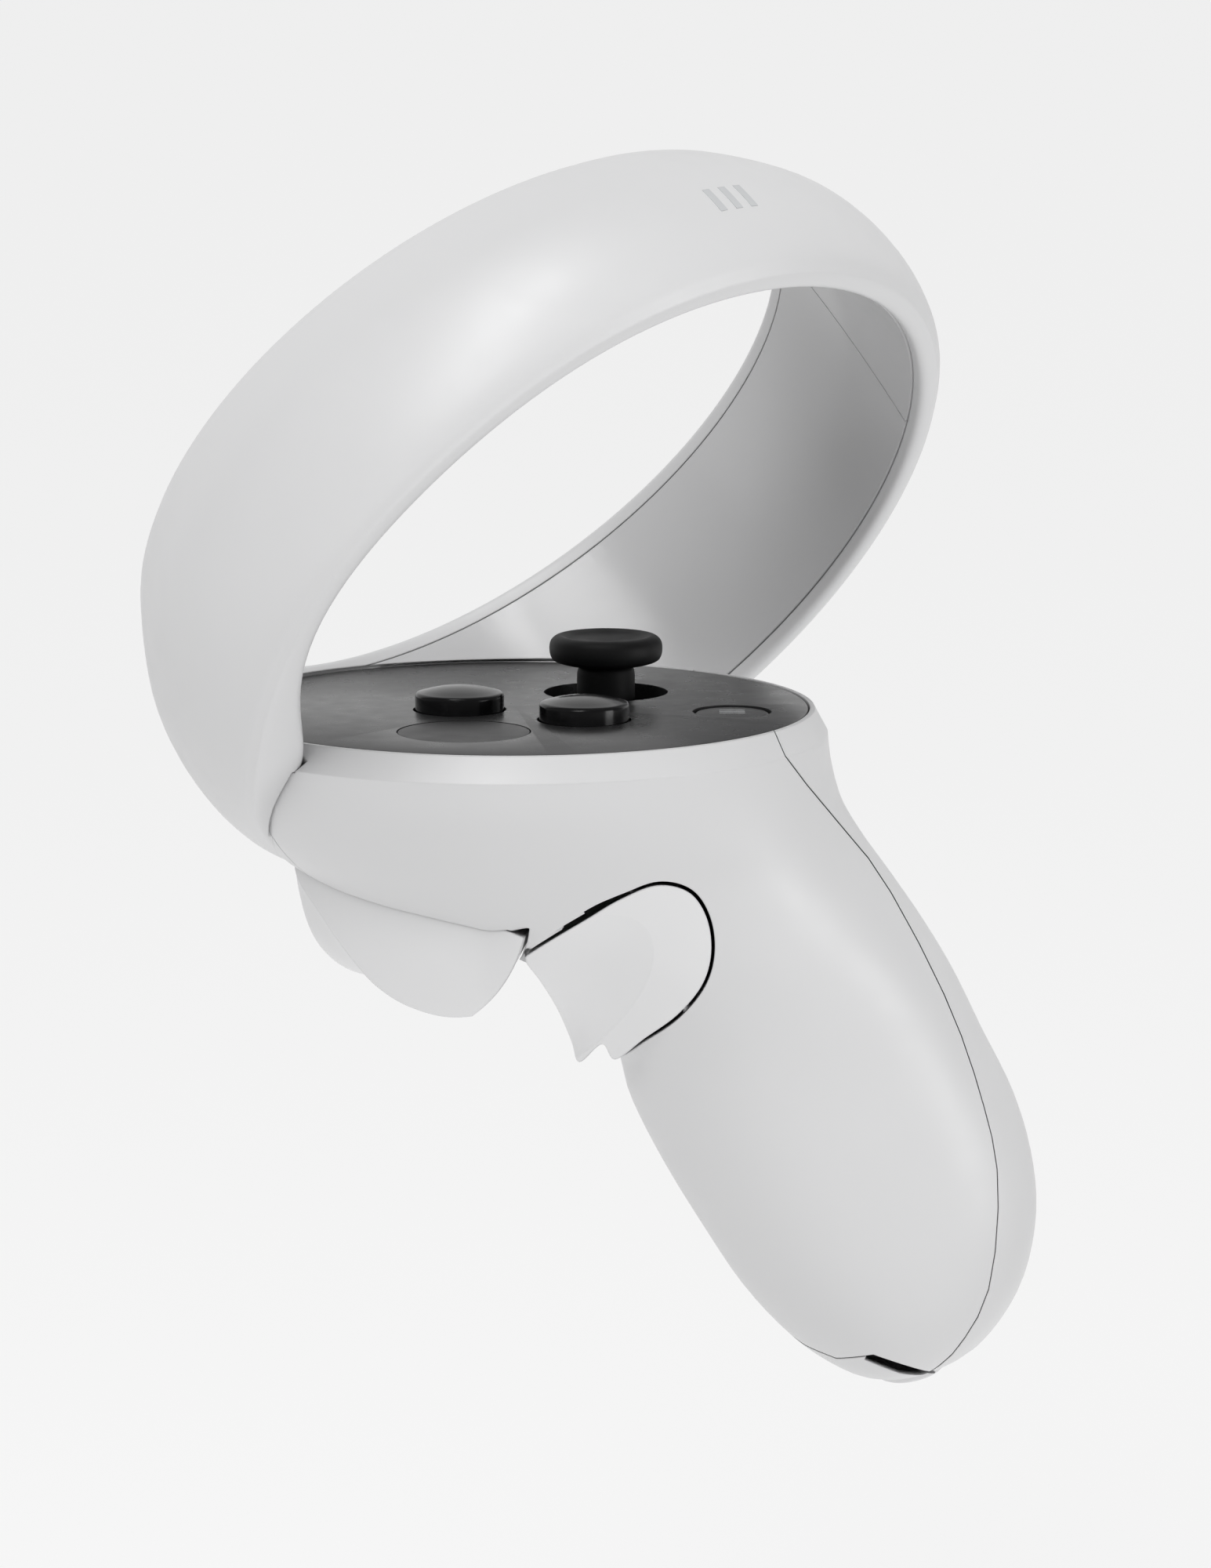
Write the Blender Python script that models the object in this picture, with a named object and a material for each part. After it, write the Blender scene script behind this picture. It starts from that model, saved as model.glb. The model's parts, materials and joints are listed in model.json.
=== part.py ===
"""Right-hand motion controller: tracking ring, control plate, trigger, grip button and battery handle.

The origin is the centre of the control plate's top face. +Z leaves that face, +X points back towards the
wearer and -Y is the inner side of the hand. All lengths below are in millimetres.
"""

import math

import bmesh
import bpy
from mathutils import Matrix, Vector

MM = 0.001

# Tracking ring: a band round its own slanted axis, straight inside and crowned outside
RING_CENTRE = (8.44, -7.74, 12.9)
RING_TILT = 50.7
RING_AZIMUTH = 136.3
RING_HEIGHT = 22.7
RING_HEIGHT_SWING = (0.072, 0.023)
RING_INNER_LOW = 38.1
RING_INNER_HIGH = 35.1
RING_CROWN = ((0.0, 40.6), (0.15, 41.95), (0.35, 42.5), (0.6, 41.8), (0.85, 39.2), (1.0, 36.9))
# Where the lower rim reaches down to the head: place and width in degrees, depth
RING_FLARE = ((66.0, 24.0, 2.3), (112.0, 30.0, 0.8))
# Where the lower rim thickens inwards as it meets the head: place and width in degrees, depth
RING_ROOT = (62.0, 18.0, 3.4)
CROWN_HEIGHTS = (1.3, 3.0, 6.0, 10.0, 14.0, 17.5, 21.2)
RING_WALL = 1.5
LINER_WALL = 1.0
RING_LIP = 1.4
# Infrared emitters behind the liner: how many, the stretch they cover in degrees, and the strip's two edges
LED_COUNT = 11
LED_SPAN = (70.0, 290.0)
LED_HEIGHTS = (9.2, 12.2)
RING_STEPS = 50
SEAM_POINT = (-24.3, -19.1, -2.4)
SEAM_TILT = 74.0
SEAM_AZIMUTH = 135.4

# Control plate and the controls on it
PLATE_R = 28.9
PLATE_THICK = 1.5
PLATE_GAP = 0.3
BUTTON_R = 4.35
BUTTON_TOP = 1.75
BUTTON_DOME = 0.6
BUTTON_A = (6.9, -8.3)
BUTTON_B = (-5.3, -2.2)
SYSTEM_BUTTON = (21.3, -3.5)
SYSTEM_R = 3.7
SYSTEM_TOP = -0.12
SYSTEM_DOME = 0.1
THUMB_REST = (-4.5, -15.4)
THUMB_REST_R = 6.4
STICK = (9.0, 8.8)
STICK_HOLE_R = 6.2
STICK_PIVOT_Z = -9.0
STICK_STEM_R = 2.9
STICK_CAP_R = 5.65

# Shells
SHELL_WALL = 1.8
# Downward slant of the side view in which the seams and the grip button are drawn
VIEW_LEAN = 10.1
LINER_JOINT = (235.0, 30.0)
SEAM_GAP = 0.3
# The inner shell wraps round the handle's front as far as this
SEAM_Y = 0.8
HEAD_STEPS = 34
COVER_Y = 3.0
# Depth of the chamfered rim, which the ring's band runs over
RIM_DEPTH = -2.5
# Wrist-loop slot under the inner shell's edge at the tip: its outline in the side view, middle and depth
SLOT_OUTLINE = (
    (34.8, -63.5), (38.0, -64.9), (41.6, -65.9), (42.0, -66.7), (38.0, -65.9), (34.5, -64.4),
)
SLOT_MIDDLE = (38.2, -65.2)
SLOT_DEPTH = (-30.0, 9.0)
# Merge distance after a cut, and a length beyond every surface
WELD = 0.002
FAR = 120.0

# Circuit board
BOARD_TOP = -5.2
BOARD_THICK = 1.0
BOARD_R = 25.0
BOARD_SCREWS = ((-13.5, -12.5), (-5.0, 17.5), (16.0, -9.5))

# Trigger and grip button
TRIGGER_PIN = (-15.0, -14.8)
TRIGGER_PIN_R = 1.0
TRIGGER_SWING = 12.0
TRIGGER_REAR = (17.0, 18.75)
TRIGGER_MAGNET_X = -4.0
GRIP_SWING = 8.0
GRIP_PIVOT = (15.6, -12.9, -23.6)
GRIP_AXIS = (0.39, 0.10, -0.915)
GRIP_BOSSES = ((-12.6, -10.9), (7.6, 9.6))
GRIP_LUG = (-8.2, 5.6)
GRIP_MAGNET = (12.6, 0.0, -25.0)
GRIP_PUSH = 5.5
GRIP_DEPTH = 4.4
MAGNET_R = 1.45
# Room left in the shells past each lever's stop, in degrees
OVER_SWING = 0.6

# Battery: an AA cell along the handle
HANDLE_DIR = (0.40, 0.0, -0.917)
HANDLE_POINT = (26.6, 1.2, -30.0)
CELL_R = 7.1
CELL_LOW = -15.5
CELL_LENGTH = 49.5


# ---------------------------------------------------------------- helpers


def clear_scene():
    """Removes whatever the start-up scene holds."""
    for item in list(bpy.data.objects):
        bpy.data.objects.remove(item)


def material(name, colour, roughness, metallic=0.0):
    """A plain surface for one sub-part."""
    made = bpy.data.materials.new(name)
    made.use_nodes = True
    shader = made.node_tree.nodes["Principled BSDF"]
    shader.inputs["Base Color"].default_value = (*colour, 1.0)
    shader.inputs["Roughness"].default_value = roughness
    shader.inputs["Metallic"].default_value = metallic
    made.diffuse_color = (*colour, 1.0)
    return made


def add(name, points, faces, surface=None, smooth=35.0):
    """One object from points in millimetres; surface None makes a hidden helper."""
    mesh = bpy.data.meshes.new(name)
    mesh.from_pydata([Vector(p) * MM for p in points], [], faces)
    work = bmesh.new()
    work.from_mesh(mesh)
    bmesh.ops.recalc_face_normals(work, faces=work.faces)
    work.to_mesh(mesh)
    work.free()
    made = bpy.data.objects.new(name, mesh)
    bpy.context.scene.collection.objects.link(made)
    if surface is None:
        made.hide_render = True
        made.display_type = "WIRE"
    else:
        mesh.materials.append(surface)
        shade(made, smooth)
    return made


def shade(item, angle):
    """Smooth shading that keeps edges sharper than the angle."""
    item.data.shade_smooth()
    item.data.set_sharp_from_angle(angle=math.radians(angle))


def bake(item, smooth=35.0):
    """Puts the object's modifiers into its mesh."""
    graph = bpy.context.evaluated_depsgraph_get()
    mesh = bpy.data.meshes.new_from_object(item.evaluated_get(graph))
    work = bmesh.new()
    work.from_mesh(mesh)
    bmesh.ops.remove_doubles(work, verts=work.verts, dist=WELD * MM)
    bmesh.ops.dissolve_degenerate(work, edges=work.edges, dist=WELD * MM)
    bmesh.ops.triangulate(work, faces=work.faces)
    work.to_mesh(mesh)
    work.free()
    item.modifiers.clear()
    item.data = mesh
    shade(item, smooth)


def combine(item, others, operation):
    """Applies boolean operations of one object with others, which are then removed."""
    for other in others:
        step = item.modifiers.new("Boolean", "BOOLEAN")
        step.operation = operation
        step.solver = "EXACT"
        step.object = other
        bake(item)
        bpy.data.objects.remove(other)
    return item


def cut(item, *others):
    return combine(item, others, "DIFFERENCE")


def join(item, *others):
    return combine(item, others, "UNION")


def clip(item, *others):
    return combine(item, others, "INTERSECT")


def loft(name, rings, surface=None, smooth=35.0):
    """A closed solid through rings of equal point counts, with flat caps."""
    count = len(rings[0])
    points = [p for ring in rings for p in ring]
    faces = []
    for k in range(len(rings) - 1):
        for i in range(count):
            j = (i + 1) % count
            a, b = k * count, (k + 1) * count
            faces.append((a + i, a + j, b + j, b + i))
    faces.append(tuple(range(count)))
    faces.append(tuple(range((len(rings) - 1) * count, len(rings) * count)))
    return add(name, points, faces, surface, smooth)


def frame_at(origin, z_axis, x_axis=None):
    """A matrix whose Z is the given direction; X is made as near as possible to the one asked for."""
    z = Vector(z_axis).normalized()
    x = Vector(x_axis) if x_axis else (Vector((1, 0, 0)) if abs(z.x) < 0.9 else Vector((0, 1, 0)))
    x = (x - z * x.dot(z)).normalized()
    y = z.cross(x)
    turn = Matrix((x, y, z)).transposed().to_4x4()
    return Matrix.Translation(Vector(origin)) @ turn


def revolve(name, profile, frame, steps=32, surface=None, smooth=35.0):
    """Turns a closed (radius, height) outline about the frame's Z; points on the axis are shared."""
    points, faces, index = [], [], []
    for radius, height in profile:
        if radius < 1e-6:
            index.append([len(points)] * steps)
            points.append(frame @ Vector((0, 0, height)))
            continue
        row = []
        for i in range(steps):
            angle = 2 * math.pi * i / steps
            row.append(len(points))
            points.append(frame @ Vector((radius * math.cos(angle), radius * math.sin(angle), height)))
        index.append(row)
    for k in range(len(profile)):
        low, high = index[k], index[(k + 1) % len(profile)]
        for i in range(steps):
            j = (i + 1) % steps
            face = []
            for corner in (low[i], low[j], high[j], high[i]):
                if corner not in face:
                    face.append(corner)
            if len(face) > 2:
                faces.append(tuple(face))
    return add(name, points, faces, surface, smooth)


def rod(name, centre, axis, radius, low, high, surface=None, steps=24, edge=0.0):
    """A cylinder from low to high along an axis through centre, with small edge chamfers."""
    profile = [(0, low), (radius - edge, low)]
    if edge:
        profile += [(radius, low + edge), (radius, high - edge)]
    profile += [(radius - edge, high), (0, high)]
    return revolve(name, profile, frame_at(centre, axis), steps, surface)


def box(name, low, high, frame=None, surface=None):
    """A box between two corners, in the frame's own axes when one is given."""
    frame = frame or Matrix.Identity(4)
    spans = [(low[k], high[k]) for k in range(3)]
    points = [frame @ Vector((x, y, z)) for x in spans[0] for y in spans[1] for z in spans[2]]
    faces = [(0, 1, 3, 2), (4, 6, 7, 5), (0, 4, 5, 1), (2, 3, 7, 6), (0, 2, 6, 4), (1, 5, 7, 3)]
    return add(name, points, faces, surface)


def prism(name, outline, frame, low, high, surface=None):
    """A closed outline in the frame's XY, extruded along its Z."""
    rings = [[frame @ Vector((x, y, z)) for x, y in outline] for z in (low, high)]
    return loft(name, rings, surface)


def between(a, b, c, d, f):
    """Catmull-Rom value at a share f of the way from b to c."""
    slope, bend, twist = c - a, 2 * a - 5 * b + 4 * c - d, 3 * b - a - 3 * c + d
    return 0.5 * (2 * b + slope * f + bend * f * f + twist * f**3)


def curve_through(knots, count, closed=False):
    """Points of equal parameter spacing on a smooth curve through the knots (tuples of any size)."""
    size = len(knots)
    spans = size if closed else size - 1
    result = []
    total = count if closed else count - 1
    for k in range(count):
        t = k * spans / total
        i = min(int(t), spans - 1)
        f = t - i
        if closed:
            p = [knots[(i + d) % size] for d in (-1, 0, 1, 2)]
        else:
            p = [knots[max(0, min(size - 1, i + d))] for d in (-1, 0, 1, 2)]
        result.append(tuple(between(*row, f) for row in zip(*p)))
    return result


# ---------------------------------------------------------------- body surfaces

# Front x, z; back x, z; half width on the inner and outer side; squareness of the section
BODY_KNOTS = (
    (-29.5, 0.0, 29.5, 0.0, 29.5, 29.5, 2.0),
    (-30.9, -2.4, 30.8, -2.4, 30.9, 30.9, 2.0),
    (-29.6, -7.0, 31.2, -5.6, 29.6, 29.6, 2.0),
    (-25.6, -12.0, 32.3, -9.4, 27.0, 27.0, 2.05),
    (-19.0, -17.0, 34.4, -13.0, 23.6, 23.6, 2.1),
    (-8.5, -22.0, 37.3, -17.0, 20.3, 20.3, 2.15),
    (3.0, -27.0, 40.6, -21.8, 17.8, 17.8, 2.2),
    (9.3, -32.5, 43.6, -26.8, 16.2, 16.2, 2.2),
    (11.4, -39.0, 46.5, -32.7, 15.2, 15.2, 2.2),
    (14.5, -45.3, 49.5, -38.7, 14.8, 14.8, 2.2),
    (18.5, -52.0, 51.4, -44.8, 14.4, 14.4, 2.2),
    (22.8, -58.5, 52.0, -51.2, 13.7, 13.7, 2.15),
    (27.8, -63.8, 50.7, -57.8, 12.0, 12.0, 2.1),
    (32.6, -67.0, 47.4, -63.3, 8.8, 8.8, 2.0),
    (36.2, -68.1, 43.2, -66.4, 4.2, 4.2, 2.0),
)


def body_section(knot, grow, steps):
    """One ring of the body's outer surface, grown or shrunk square to itself."""
    fx, fz, bx, bz, near, far, power = knot
    front, back = Vector((fx, 0, fz)), Vector((bx, 0, bz))
    centre = (front + back) / 2
    half = (back - front) / 2
    along = half.normalized() * (half.length + grow)
    ring = []
    for i in range(steps):
        angle = 2 * math.pi * i / steps
        c, s = math.cos(angle), math.sin(angle)
        u = math.copysign(abs(c) ** (2 / power), c)
        w = math.copysign(abs(s) ** (2 / power), s)
        width = (far if w > 0 else near) + grow
        ring.append(centre + along * u + Vector((0, width * w, 0)))
    return ring


def body_solid(name, grow, sections=27, top=0.0, knots=BODY_KNOTS, cap=1.2, steps=HEAD_STEPS):
    """The closed body below the control plate, from its rim to the end of the handle."""
    knots = curve_through(knots, sections)
    rings = [body_section(knot, grow, steps) for knot in knots]
    rings[0] = [Vector((p.x, p.y, top)) for p in rings[0]]
    last = rings[-1]
    centre = sum(last, Vector()) / len(last)
    down = Vector(HANDLE_DIR).normalized()
    rings.append([centre + (p - centre) * 0.55 + down * cap * 0.7 for p in last])
    rings.append([centre + (p - centre) * 0.12 + down * cap for p in last])
    return loft(name, rings)


def side_view():
    """Axes of the inner side's view: X as it is, Y down and Z into the body, square to each other."""
    lean = math.radians(VIEW_LEAN)
    return frame_at((0, 0, 0), (0, math.cos(lean), -math.sin(lean)), (1, 0, 0))


def side_prism(name, outline, middle, grow, low, high):
    """A block with an outline of x and height in the side view, grown away from a middle point."""
    points = []
    for x, height in outline:
        out = (Vector((x, height)) - Vector(middle)).normalized() * grow
        points.append((x + out.x, -height - out.y))
    return prism(name, points, side_view(), low, high)


def slanted_frame(origin, tilt, azimuth):
    """Axes with Z leaning by tilt towards the azimuth and X running downhill that way."""
    tilt, azimuth = math.radians(tilt), math.radians(azimuth)
    axis = (math.sin(tilt) * math.cos(azimuth), math.sin(tilt) * math.sin(azimuth), math.cos(tilt))
    low = (math.cos(tilt) * math.cos(azimuth), math.cos(tilt) * math.sin(azimuth), -math.sin(tilt))
    return frame_at(origin, axis, low)


def ring_frame():
    """The ring's own axes: Z is its axis, X runs to the lowest point of its lower rim."""
    return slanted_frame(RING_CENTRE, RING_TILT, RING_AZIMUTH)


def crown_radius(height):
    """The ring's outer radius at a height, on a smooth curve through the crown's knots."""
    share = min(1.0, max(0.0, height / RING_HEIGHT))
    k = max(i for i in range(len(RING_CROWN) - 1) if RING_CROWN[i][0] <= share)

    def slope(i):
        low, high = RING_CROWN[max(0, i - 1)], RING_CROWN[min(len(RING_CROWN) - 1, i + 1)]
        return (high[1] - low[1]) / (high[0] - low[0])

    (x0, y0), (x1, y1) = RING_CROWN[k], RING_CROWN[k + 1]
    span = x1 - x0
    t = (share - x0) / span
    rise = y0 * (1 + 2 * t) * (1 - t) ** 2 + y1 * t * t * (3 - 2 * t)
    return rise + span * (slope(k) * t * (1 - t) ** 2 - slope(k + 1) * t * t * (1 - t))


def inner_radius(height):
    """The ring's inner radius, which narrows towards its upper rim."""
    return RING_INNER_LOW + (RING_INNER_HIGH - RING_INNER_LOW) * height / RING_HEIGHT


def swell(angle, place, width, depth):
    """A smooth bump's height at an angle in radians; its place and width round the ring are in degrees."""
    away = abs((math.degrees(angle) - place + 180) % 360 - 180) / width
    return depth * math.exp(-away * away)


def ring_point(radius, height, angle):
    """A point of the band; it is taller at the front, and its lower rim spreads where it meets the head."""
    c, s = math.cos(angle), math.sin(angle)
    scale = 1 + RING_HEIGHT_SWING[0] * c + RING_HEIGHT_SWING[1] * s
    low = 1 - height / RING_HEIGHT
    drop = low * sum(swell(angle, *bump) for bump in RING_FLARE)
    if radius < inner_radius(height) + RING_LIP:
        radius -= low * swell(angle, *RING_ROOT)
    return ring_frame() @ Vector((radius * c, radius * s, height * scale - drop))


def ring_band(name, profile):
    """A closed (radius, height) outline taken once round the ring."""
    points, faces = [], []
    count = len(profile)
    for i in range(RING_STEPS):
        points += [ring_point(r, h, 2 * math.pi * i / RING_STEPS) for r, h in profile]
        j = (i + 1) % RING_STEPS
        for k in range(count):
            m = (k + 1) % count
            faces.append((i * count + k, j * count + k, j * count + m, i * count + m))
    return add(name, points, faces)


def seam_side(name, offset, side):
    """A slab that holds everything on one side of the plane where the ring's piece ends."""
    low, high = (offset, FAR) if side > 0 else (-FAR, offset)
    frame = slanted_frame(SEAM_POINT, SEAM_TILT, SEAM_AZIMUTH)
    return box(name, (-FAR, -FAR, low), (FAR, FAR, high), frame)


def handle_frame():
    """Axes along the handle: Z runs down the cell's centre line, X towards the front, Y outwards."""
    return frame_at(HANDLE_POINT, HANDLE_DIR, (-0.917, 0, -0.40))


# ---------------------------------------------------------------- shells and ring


def shell_wall():
    """The whole wall of head and handle, open under the control plate."""
    wall = body_solid("shell_wall", 0.0, 27)
    hollow = body_solid("hollow", -SHELL_WALL, 25, top=2.0, knots=BODY_KNOTS[:-1], cap=0.6)
    seat = rod("plate_seat", (0, 0, 0), (0, 0, 1), PLATE_R + 0.25, -PLATE_THICK - PLATE_GAP, 3.0, steps=64)
    return cut(wall, hollow, seat)


def duplicate(item, name):
    made = bpy.data.objects.new(name, item.data.copy())
    bpy.context.scene.collection.objects.link(made)
    made.hide_render = item.hide_render
    return made


def finish(item, surface, smooth=35.0):
    """Turns a carved helper into a visible sub-part."""
    item.hide_render = False
    item.display_type = "TEXTURED"
    item.data.materials.clear()
    item.data.materials.append(surface)
    shade(item, smooth)
    return item


def cover_region(name, grow):
    """Where the battery cover is: the outer face of the handle, down to its tip."""
    frame = handle_frame()
    return box(name, (-40, COVER_Y - 1.2 - grow, -2.0 - grow), (40, 40, 70), frame)


def ring_profile(wall):
    """Outline of the ring's outer shell: crowned outside, with lips that wrap the two rims."""
    high = RING_HEIGHT
    low_in, high_in = inner_radius(0.0), inner_radius(high)
    low_lip = [(low_in, 1.5), (low_in, 0.6), (low_in + 0.35, 0.15), (low_in + 1.0, 0.0)]
    low_lip += [(low_in + 1.9, 0.12), (40.4, 0.5)]
    crown = [(crown_radius(h), h) for h in CROWN_HEIGHTS]
    high_lip = [(36.95, high - 0.5), (36.5, high - 0.12), (high_in + 0.7, high)]
    high_lip += [(high_in + 0.2, high - 0.2), (high_in + 0.05, high - 0.6)]
    high_lip += [(inner_radius(high - 1.5), high - 1.5), (36.6, high - 1.5)]
    inside = [(crown_radius(h) - wall, h) for h in (19.6, 16.0, 12.0, 8.0, 4.0)]
    return low_lip + crown + high_lip + inside + [(39.3, 1.5)]


def ring_fill(name, grow):
    """The band's whole section as one solid, without its hollow."""
    high = RING_HEIGHT + grow
    outer = [(crown_radius(h) + grow, h) for h in CROWN_HEIGHTS]
    profile = [(inner_radius(0) - grow, -grow), (40.4 + grow, -grow + 0.2)] + outer
    profile += [(36.95 + grow, high), (RING_INNER_HIGH - grow, high)]
    return ring_band(name, profile)


def build_ring_shell(surface):
    """Band and nose in one moulding: the nose closes the front of the head below the plate."""
    band = ring_band("ring_outer_shell", ring_profile(RING_WALL))
    deep = box("deep", (-FAR, -FAR, -FAR), (FAR, FAR, RIM_DEPTH))
    buried = clip(body_solid("buried", SEAM_GAP), seam_side("buried_side", 0.0, -1), deep)
    cut(band, buried)
    nose = clip(body_solid("nose", 0.0), seam_side("nose_side", 0.0, 1))
    join(band, nose)
    hollow = body_solid("inside", -SHELL_WALL, 25, top=2.0, knots=BODY_KNOTS[:-1], cap=0.6)
    seat = rod("plate_clear", (0, 0, 0), (0, 0, 1), PLATE_R + 0.25, -PLATE_THICK - PLATE_GAP, 0.3, steps=64)
    cut(band, hollow, seat)
    keep_largest(band)
    return finish(band, surface)


def liner_slab(name, angle, slope):
    """A thin slanted slab that parts the ring's liner at one place."""
    turn = math.radians(angle)
    radial = Vector((math.cos(turn), math.sin(turn), 0))
    tangent = Vector((-math.sin(turn), math.cos(turn), 0))
    lean = math.radians(slope)
    normal = tangent * math.cos(lean) + Vector((0, 0, 1)) * math.sin(lean)
    middle = radial * inner_radius(RING_HEIGHT / 2) + Vector((0, 0, RING_HEIGHT / 2))
    frame = ring_frame() @ frame_at(middle, normal, radial)
    return box(name, (-6, -40, -0.12), (6, 40, 0.12), frame)


def build_liner(surface):
    """The ring's inside wall, in two pieces that meet on a slanted joint."""
    low, high = 1.8, RING_HEIGHT - 1.8
    profile = [(inner_radius(low), low), (inner_radius(low) + LINER_WALL, low)]
    profile += [(inner_radius(high) + LINER_WALL, high), (inner_radius(high), high)]
    whole = ring_band("liner", profile)
    body = body_solid("liner_clear", 0.3, 27, top=0.3)
    cut(whole, body, liner_slab("liner_joint", LINER_JOINT[0], LINER_JOINT[1]))
    pieces = separate(whole)
    names = ("ring_liner", "ring_liner_end")
    made = []
    for name, piece in zip(names, pieces):
        piece.name = name
        made.append(finish(piece, surface))
    return made


def separate(item):
    """Splits an object into its loose bodies, largest first."""
    work = bmesh.new()
    work.from_mesh(item.data)
    left = set(work.verts)
    groups = []
    while left:
        stack = [next(iter(left))]
        left.discard(stack[0])
        group = [stack[0]]
        while stack:
            for edge in stack.pop().link_edges:
                for vert in edge.verts:
                    if vert in left:
                        left.discard(vert)
                        stack.append(vert)
                        group.append(vert)
        groups.append({vert.index for vert in group})
    work.free()
    groups.sort(key=len, reverse=True)
    made = []
    for group in groups:
        copy = duplicate(item, item.name)
        part = bmesh.new()
        part.from_mesh(copy.data)
        extra = [vert for vert in part.verts if vert.index not in group]
        bmesh.ops.delete(part, geom=extra, context="VERTS")
        part.to_mesh(copy.data)
        part.free()
        made.append(copy)
    bpy.data.objects.remove(item)
    return made


def keep_largest(item):
    """Drops the small offcuts that a cut leaves loose."""
    pieces = separate(duplicate(item, item.name + "_pieces"))
    item.data = pieces[0].data
    for piece in pieces:
        bpy.data.objects.remove(piece)


def build_led_strip(surface):
    """Flexible circuit behind the liner, with an infrared emitter at even steps."""
    rings = []
    first, last = LED_SPAN
    step = (last - first) / LED_COUNT
    thin, thick = 0.3, 1.3
    stops = [(first, thin)]
    for k in range(LED_COUNT):
        middle = first + step * (k + 0.5)
        stops += [(middle - 1.7, thin), (middle - 1.6, thick), (middle + 1.6, thick), (middle + 1.7, thin)]
        stops += [(middle + 6.0, thin), (middle + step - 6.0, thin)]
    stops = [stop for stop in stops if stop[0] < last - 1.0] + [(last, thin)]
    low, high = LED_HEIGHTS
    foot, head = (inner_radius(h) + LINER_WALL + 0.35 for h in LED_HEIGHTS)
    for angle, deep in stops:
        turn = math.radians(angle)
        outline = ((foot, low), (foot + deep, low), (head + deep, high), (head, high))
        rings.append([ring_point(r, h, turn) for r, h in outline])
    return loft("ring_led_strip", rings, surface, 20)


# The inner shell's seam in the side view, down the back of head and handle, then forwards under the tip
BACK_SEAM = (
    (24.4, 3.0), (25.3, -3.9), (30.9, -10.8), (36.0, -17.0), (42.4, -29.2), (45.7, -38.5),
    (47.3, -46.5), (46.6, -56.9), (43.8, -63.0), (41.1, -65.9),
)
FOOT_SEAM = ((35.3, -63.8), (31.8, -64.5), (28.8, -63.5), (20.0, -58.0))


def inner_region(name, grow):
    """Where the inner shell is: inside its seam, and no further outwards than SEAM_Y."""
    outline = curve_through(BACK_SEAM, 24) + list(FOOT_SEAM) + [(-60.0, -58.0), (-60.0, 3.0)]
    region = side_prism(name, outline, (15.0, -30.0), grow, -50.0, 50.0)
    return clip(region, box(name + "_side", (-FAR, -FAR, -FAR), (FAR, SEAM_Y + grow, FAR)))


def build_shells(wall):
    """Inner shell, outer shell and battery cover, parted by narrow gaps."""
    rest = clip(duplicate(wall, "rest"), seam_side("behind", -SEAM_GAP, -1))
    rim_top = box("rim_top", (-FAR, -FAR, RIM_DEPTH - SEAM_GAP), (FAR, FAR, FAR))
    cut(rest, clip(ring_fill("rim_clear", SEAM_GAP), rim_top))
    medial = clip(duplicate(rest, "medial_shell"), inner_region("m_clip", 0.0))
    others = cut(duplicate(rest, "others"), inner_region("o_cut", SEAM_GAP))
    cover = clip(duplicate(others, "battery_cover"), cover_region("c_clip", 0.0))
    lateral = cut(others, cover_region("c_cut", SEAM_GAP))
    lateral.name = "lateral_shell"
    bpy.data.objects.remove(rest)
    return medial, lateral, cover


# ---------------------------------------------------------------- control plate


def build_plate(surface, pad_surface):
    """The round control plate with its openings, and the thumb rest let into it."""
    edge = 0.25
    profile = [(0, -PLATE_THICK), (PLATE_R, -PLATE_THICK), (PLATE_R, -edge), (PLATE_R - edge, 0), (0, 0)]
    plate = revolve("faceplate", profile, frame_at((0, 0, 0), (0, 0, 1)), 72)
    holes = [
        rod("hole_a", (*BUTTON_A, 0), (0, 0, 1), BUTTON_R + 0.3, -5, 5, steps=32),
        rod("hole_b", (*BUTTON_B, 0), (0, 0, 1), BUTTON_R + 0.3, -5, 5, steps=32),
        rod("hole_system", (*SYSTEM_BUTTON, 0), (0, 0, 1), SYSTEM_R + 0.25, -5, 5, steps=32),
        rod("hole_stick", (*STICK, 0), (0, 0, 1), STICK_HOLE_R, -5, 5, steps=40),
        rod("rest_seat", (*THUMB_REST, 0), (0, 0, 1), THUMB_REST_R, -0.8, 5, steps=40),
    ]
    cut(plate, *holes)
    finish(plate, surface)
    rod("thumb_rest", (*THUMB_REST, 0), (0, 0, 1), THUMB_REST_R - 0.12, -0.6, -0.03, pad_surface, 40, 0.1)


def build_button(name, place, top, radius, dome, surface):
    """A push button with a domed top and a retaining flange under the plate."""
    rim = 0.35
    profile = [(0, -3.3), (radius + 0.9, -3.3), (radius + 0.9, -2.7), (radius, -2.7)]
    profile += [(radius, top - rim), (radius - rim * 0.35, top - rim * 0.3), (radius - rim, top)]
    profile += [(radius * s, top + dome * (1 - s * s)) for s in (0.75, 0.5, 0.25)]
    profile.append((0, top + dome))
    return revolve(name, profile, frame_at((*place, 0), (0, 0, 1)), 24, surface, 30)


def build_dome(name, place, surface):
    """The rubber dome that returns a button."""
    top, foot = -3.6, BOARD_TOP + 0.02
    profile = [(0, foot + 0.6), (1.6, foot + 0.3), (2.2, foot), (3.0, foot), (3.0, foot + 0.4)]
    profile += [(1.9, top - 0.2), (1.5, top), (0, top)]
    return revolve(name, profile, frame_at((*place, 0), (0, 0, 1)), 16, surface)


def skirt_profile(pivot, radius, thick):
    """Outline of the dust skirt, a zone of a hollow ball about the stick's pivot."""
    polars = [math.radians(23.5 + 4.9 * k) for k in range(6)]
    outside = [(radius * math.sin(a), pivot + radius * math.cos(a)) for a in polars]
    radius -= thick
    return outside + [(radius * math.sin(a), pivot + radius * math.cos(a)) for a in reversed(polars)]


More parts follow.
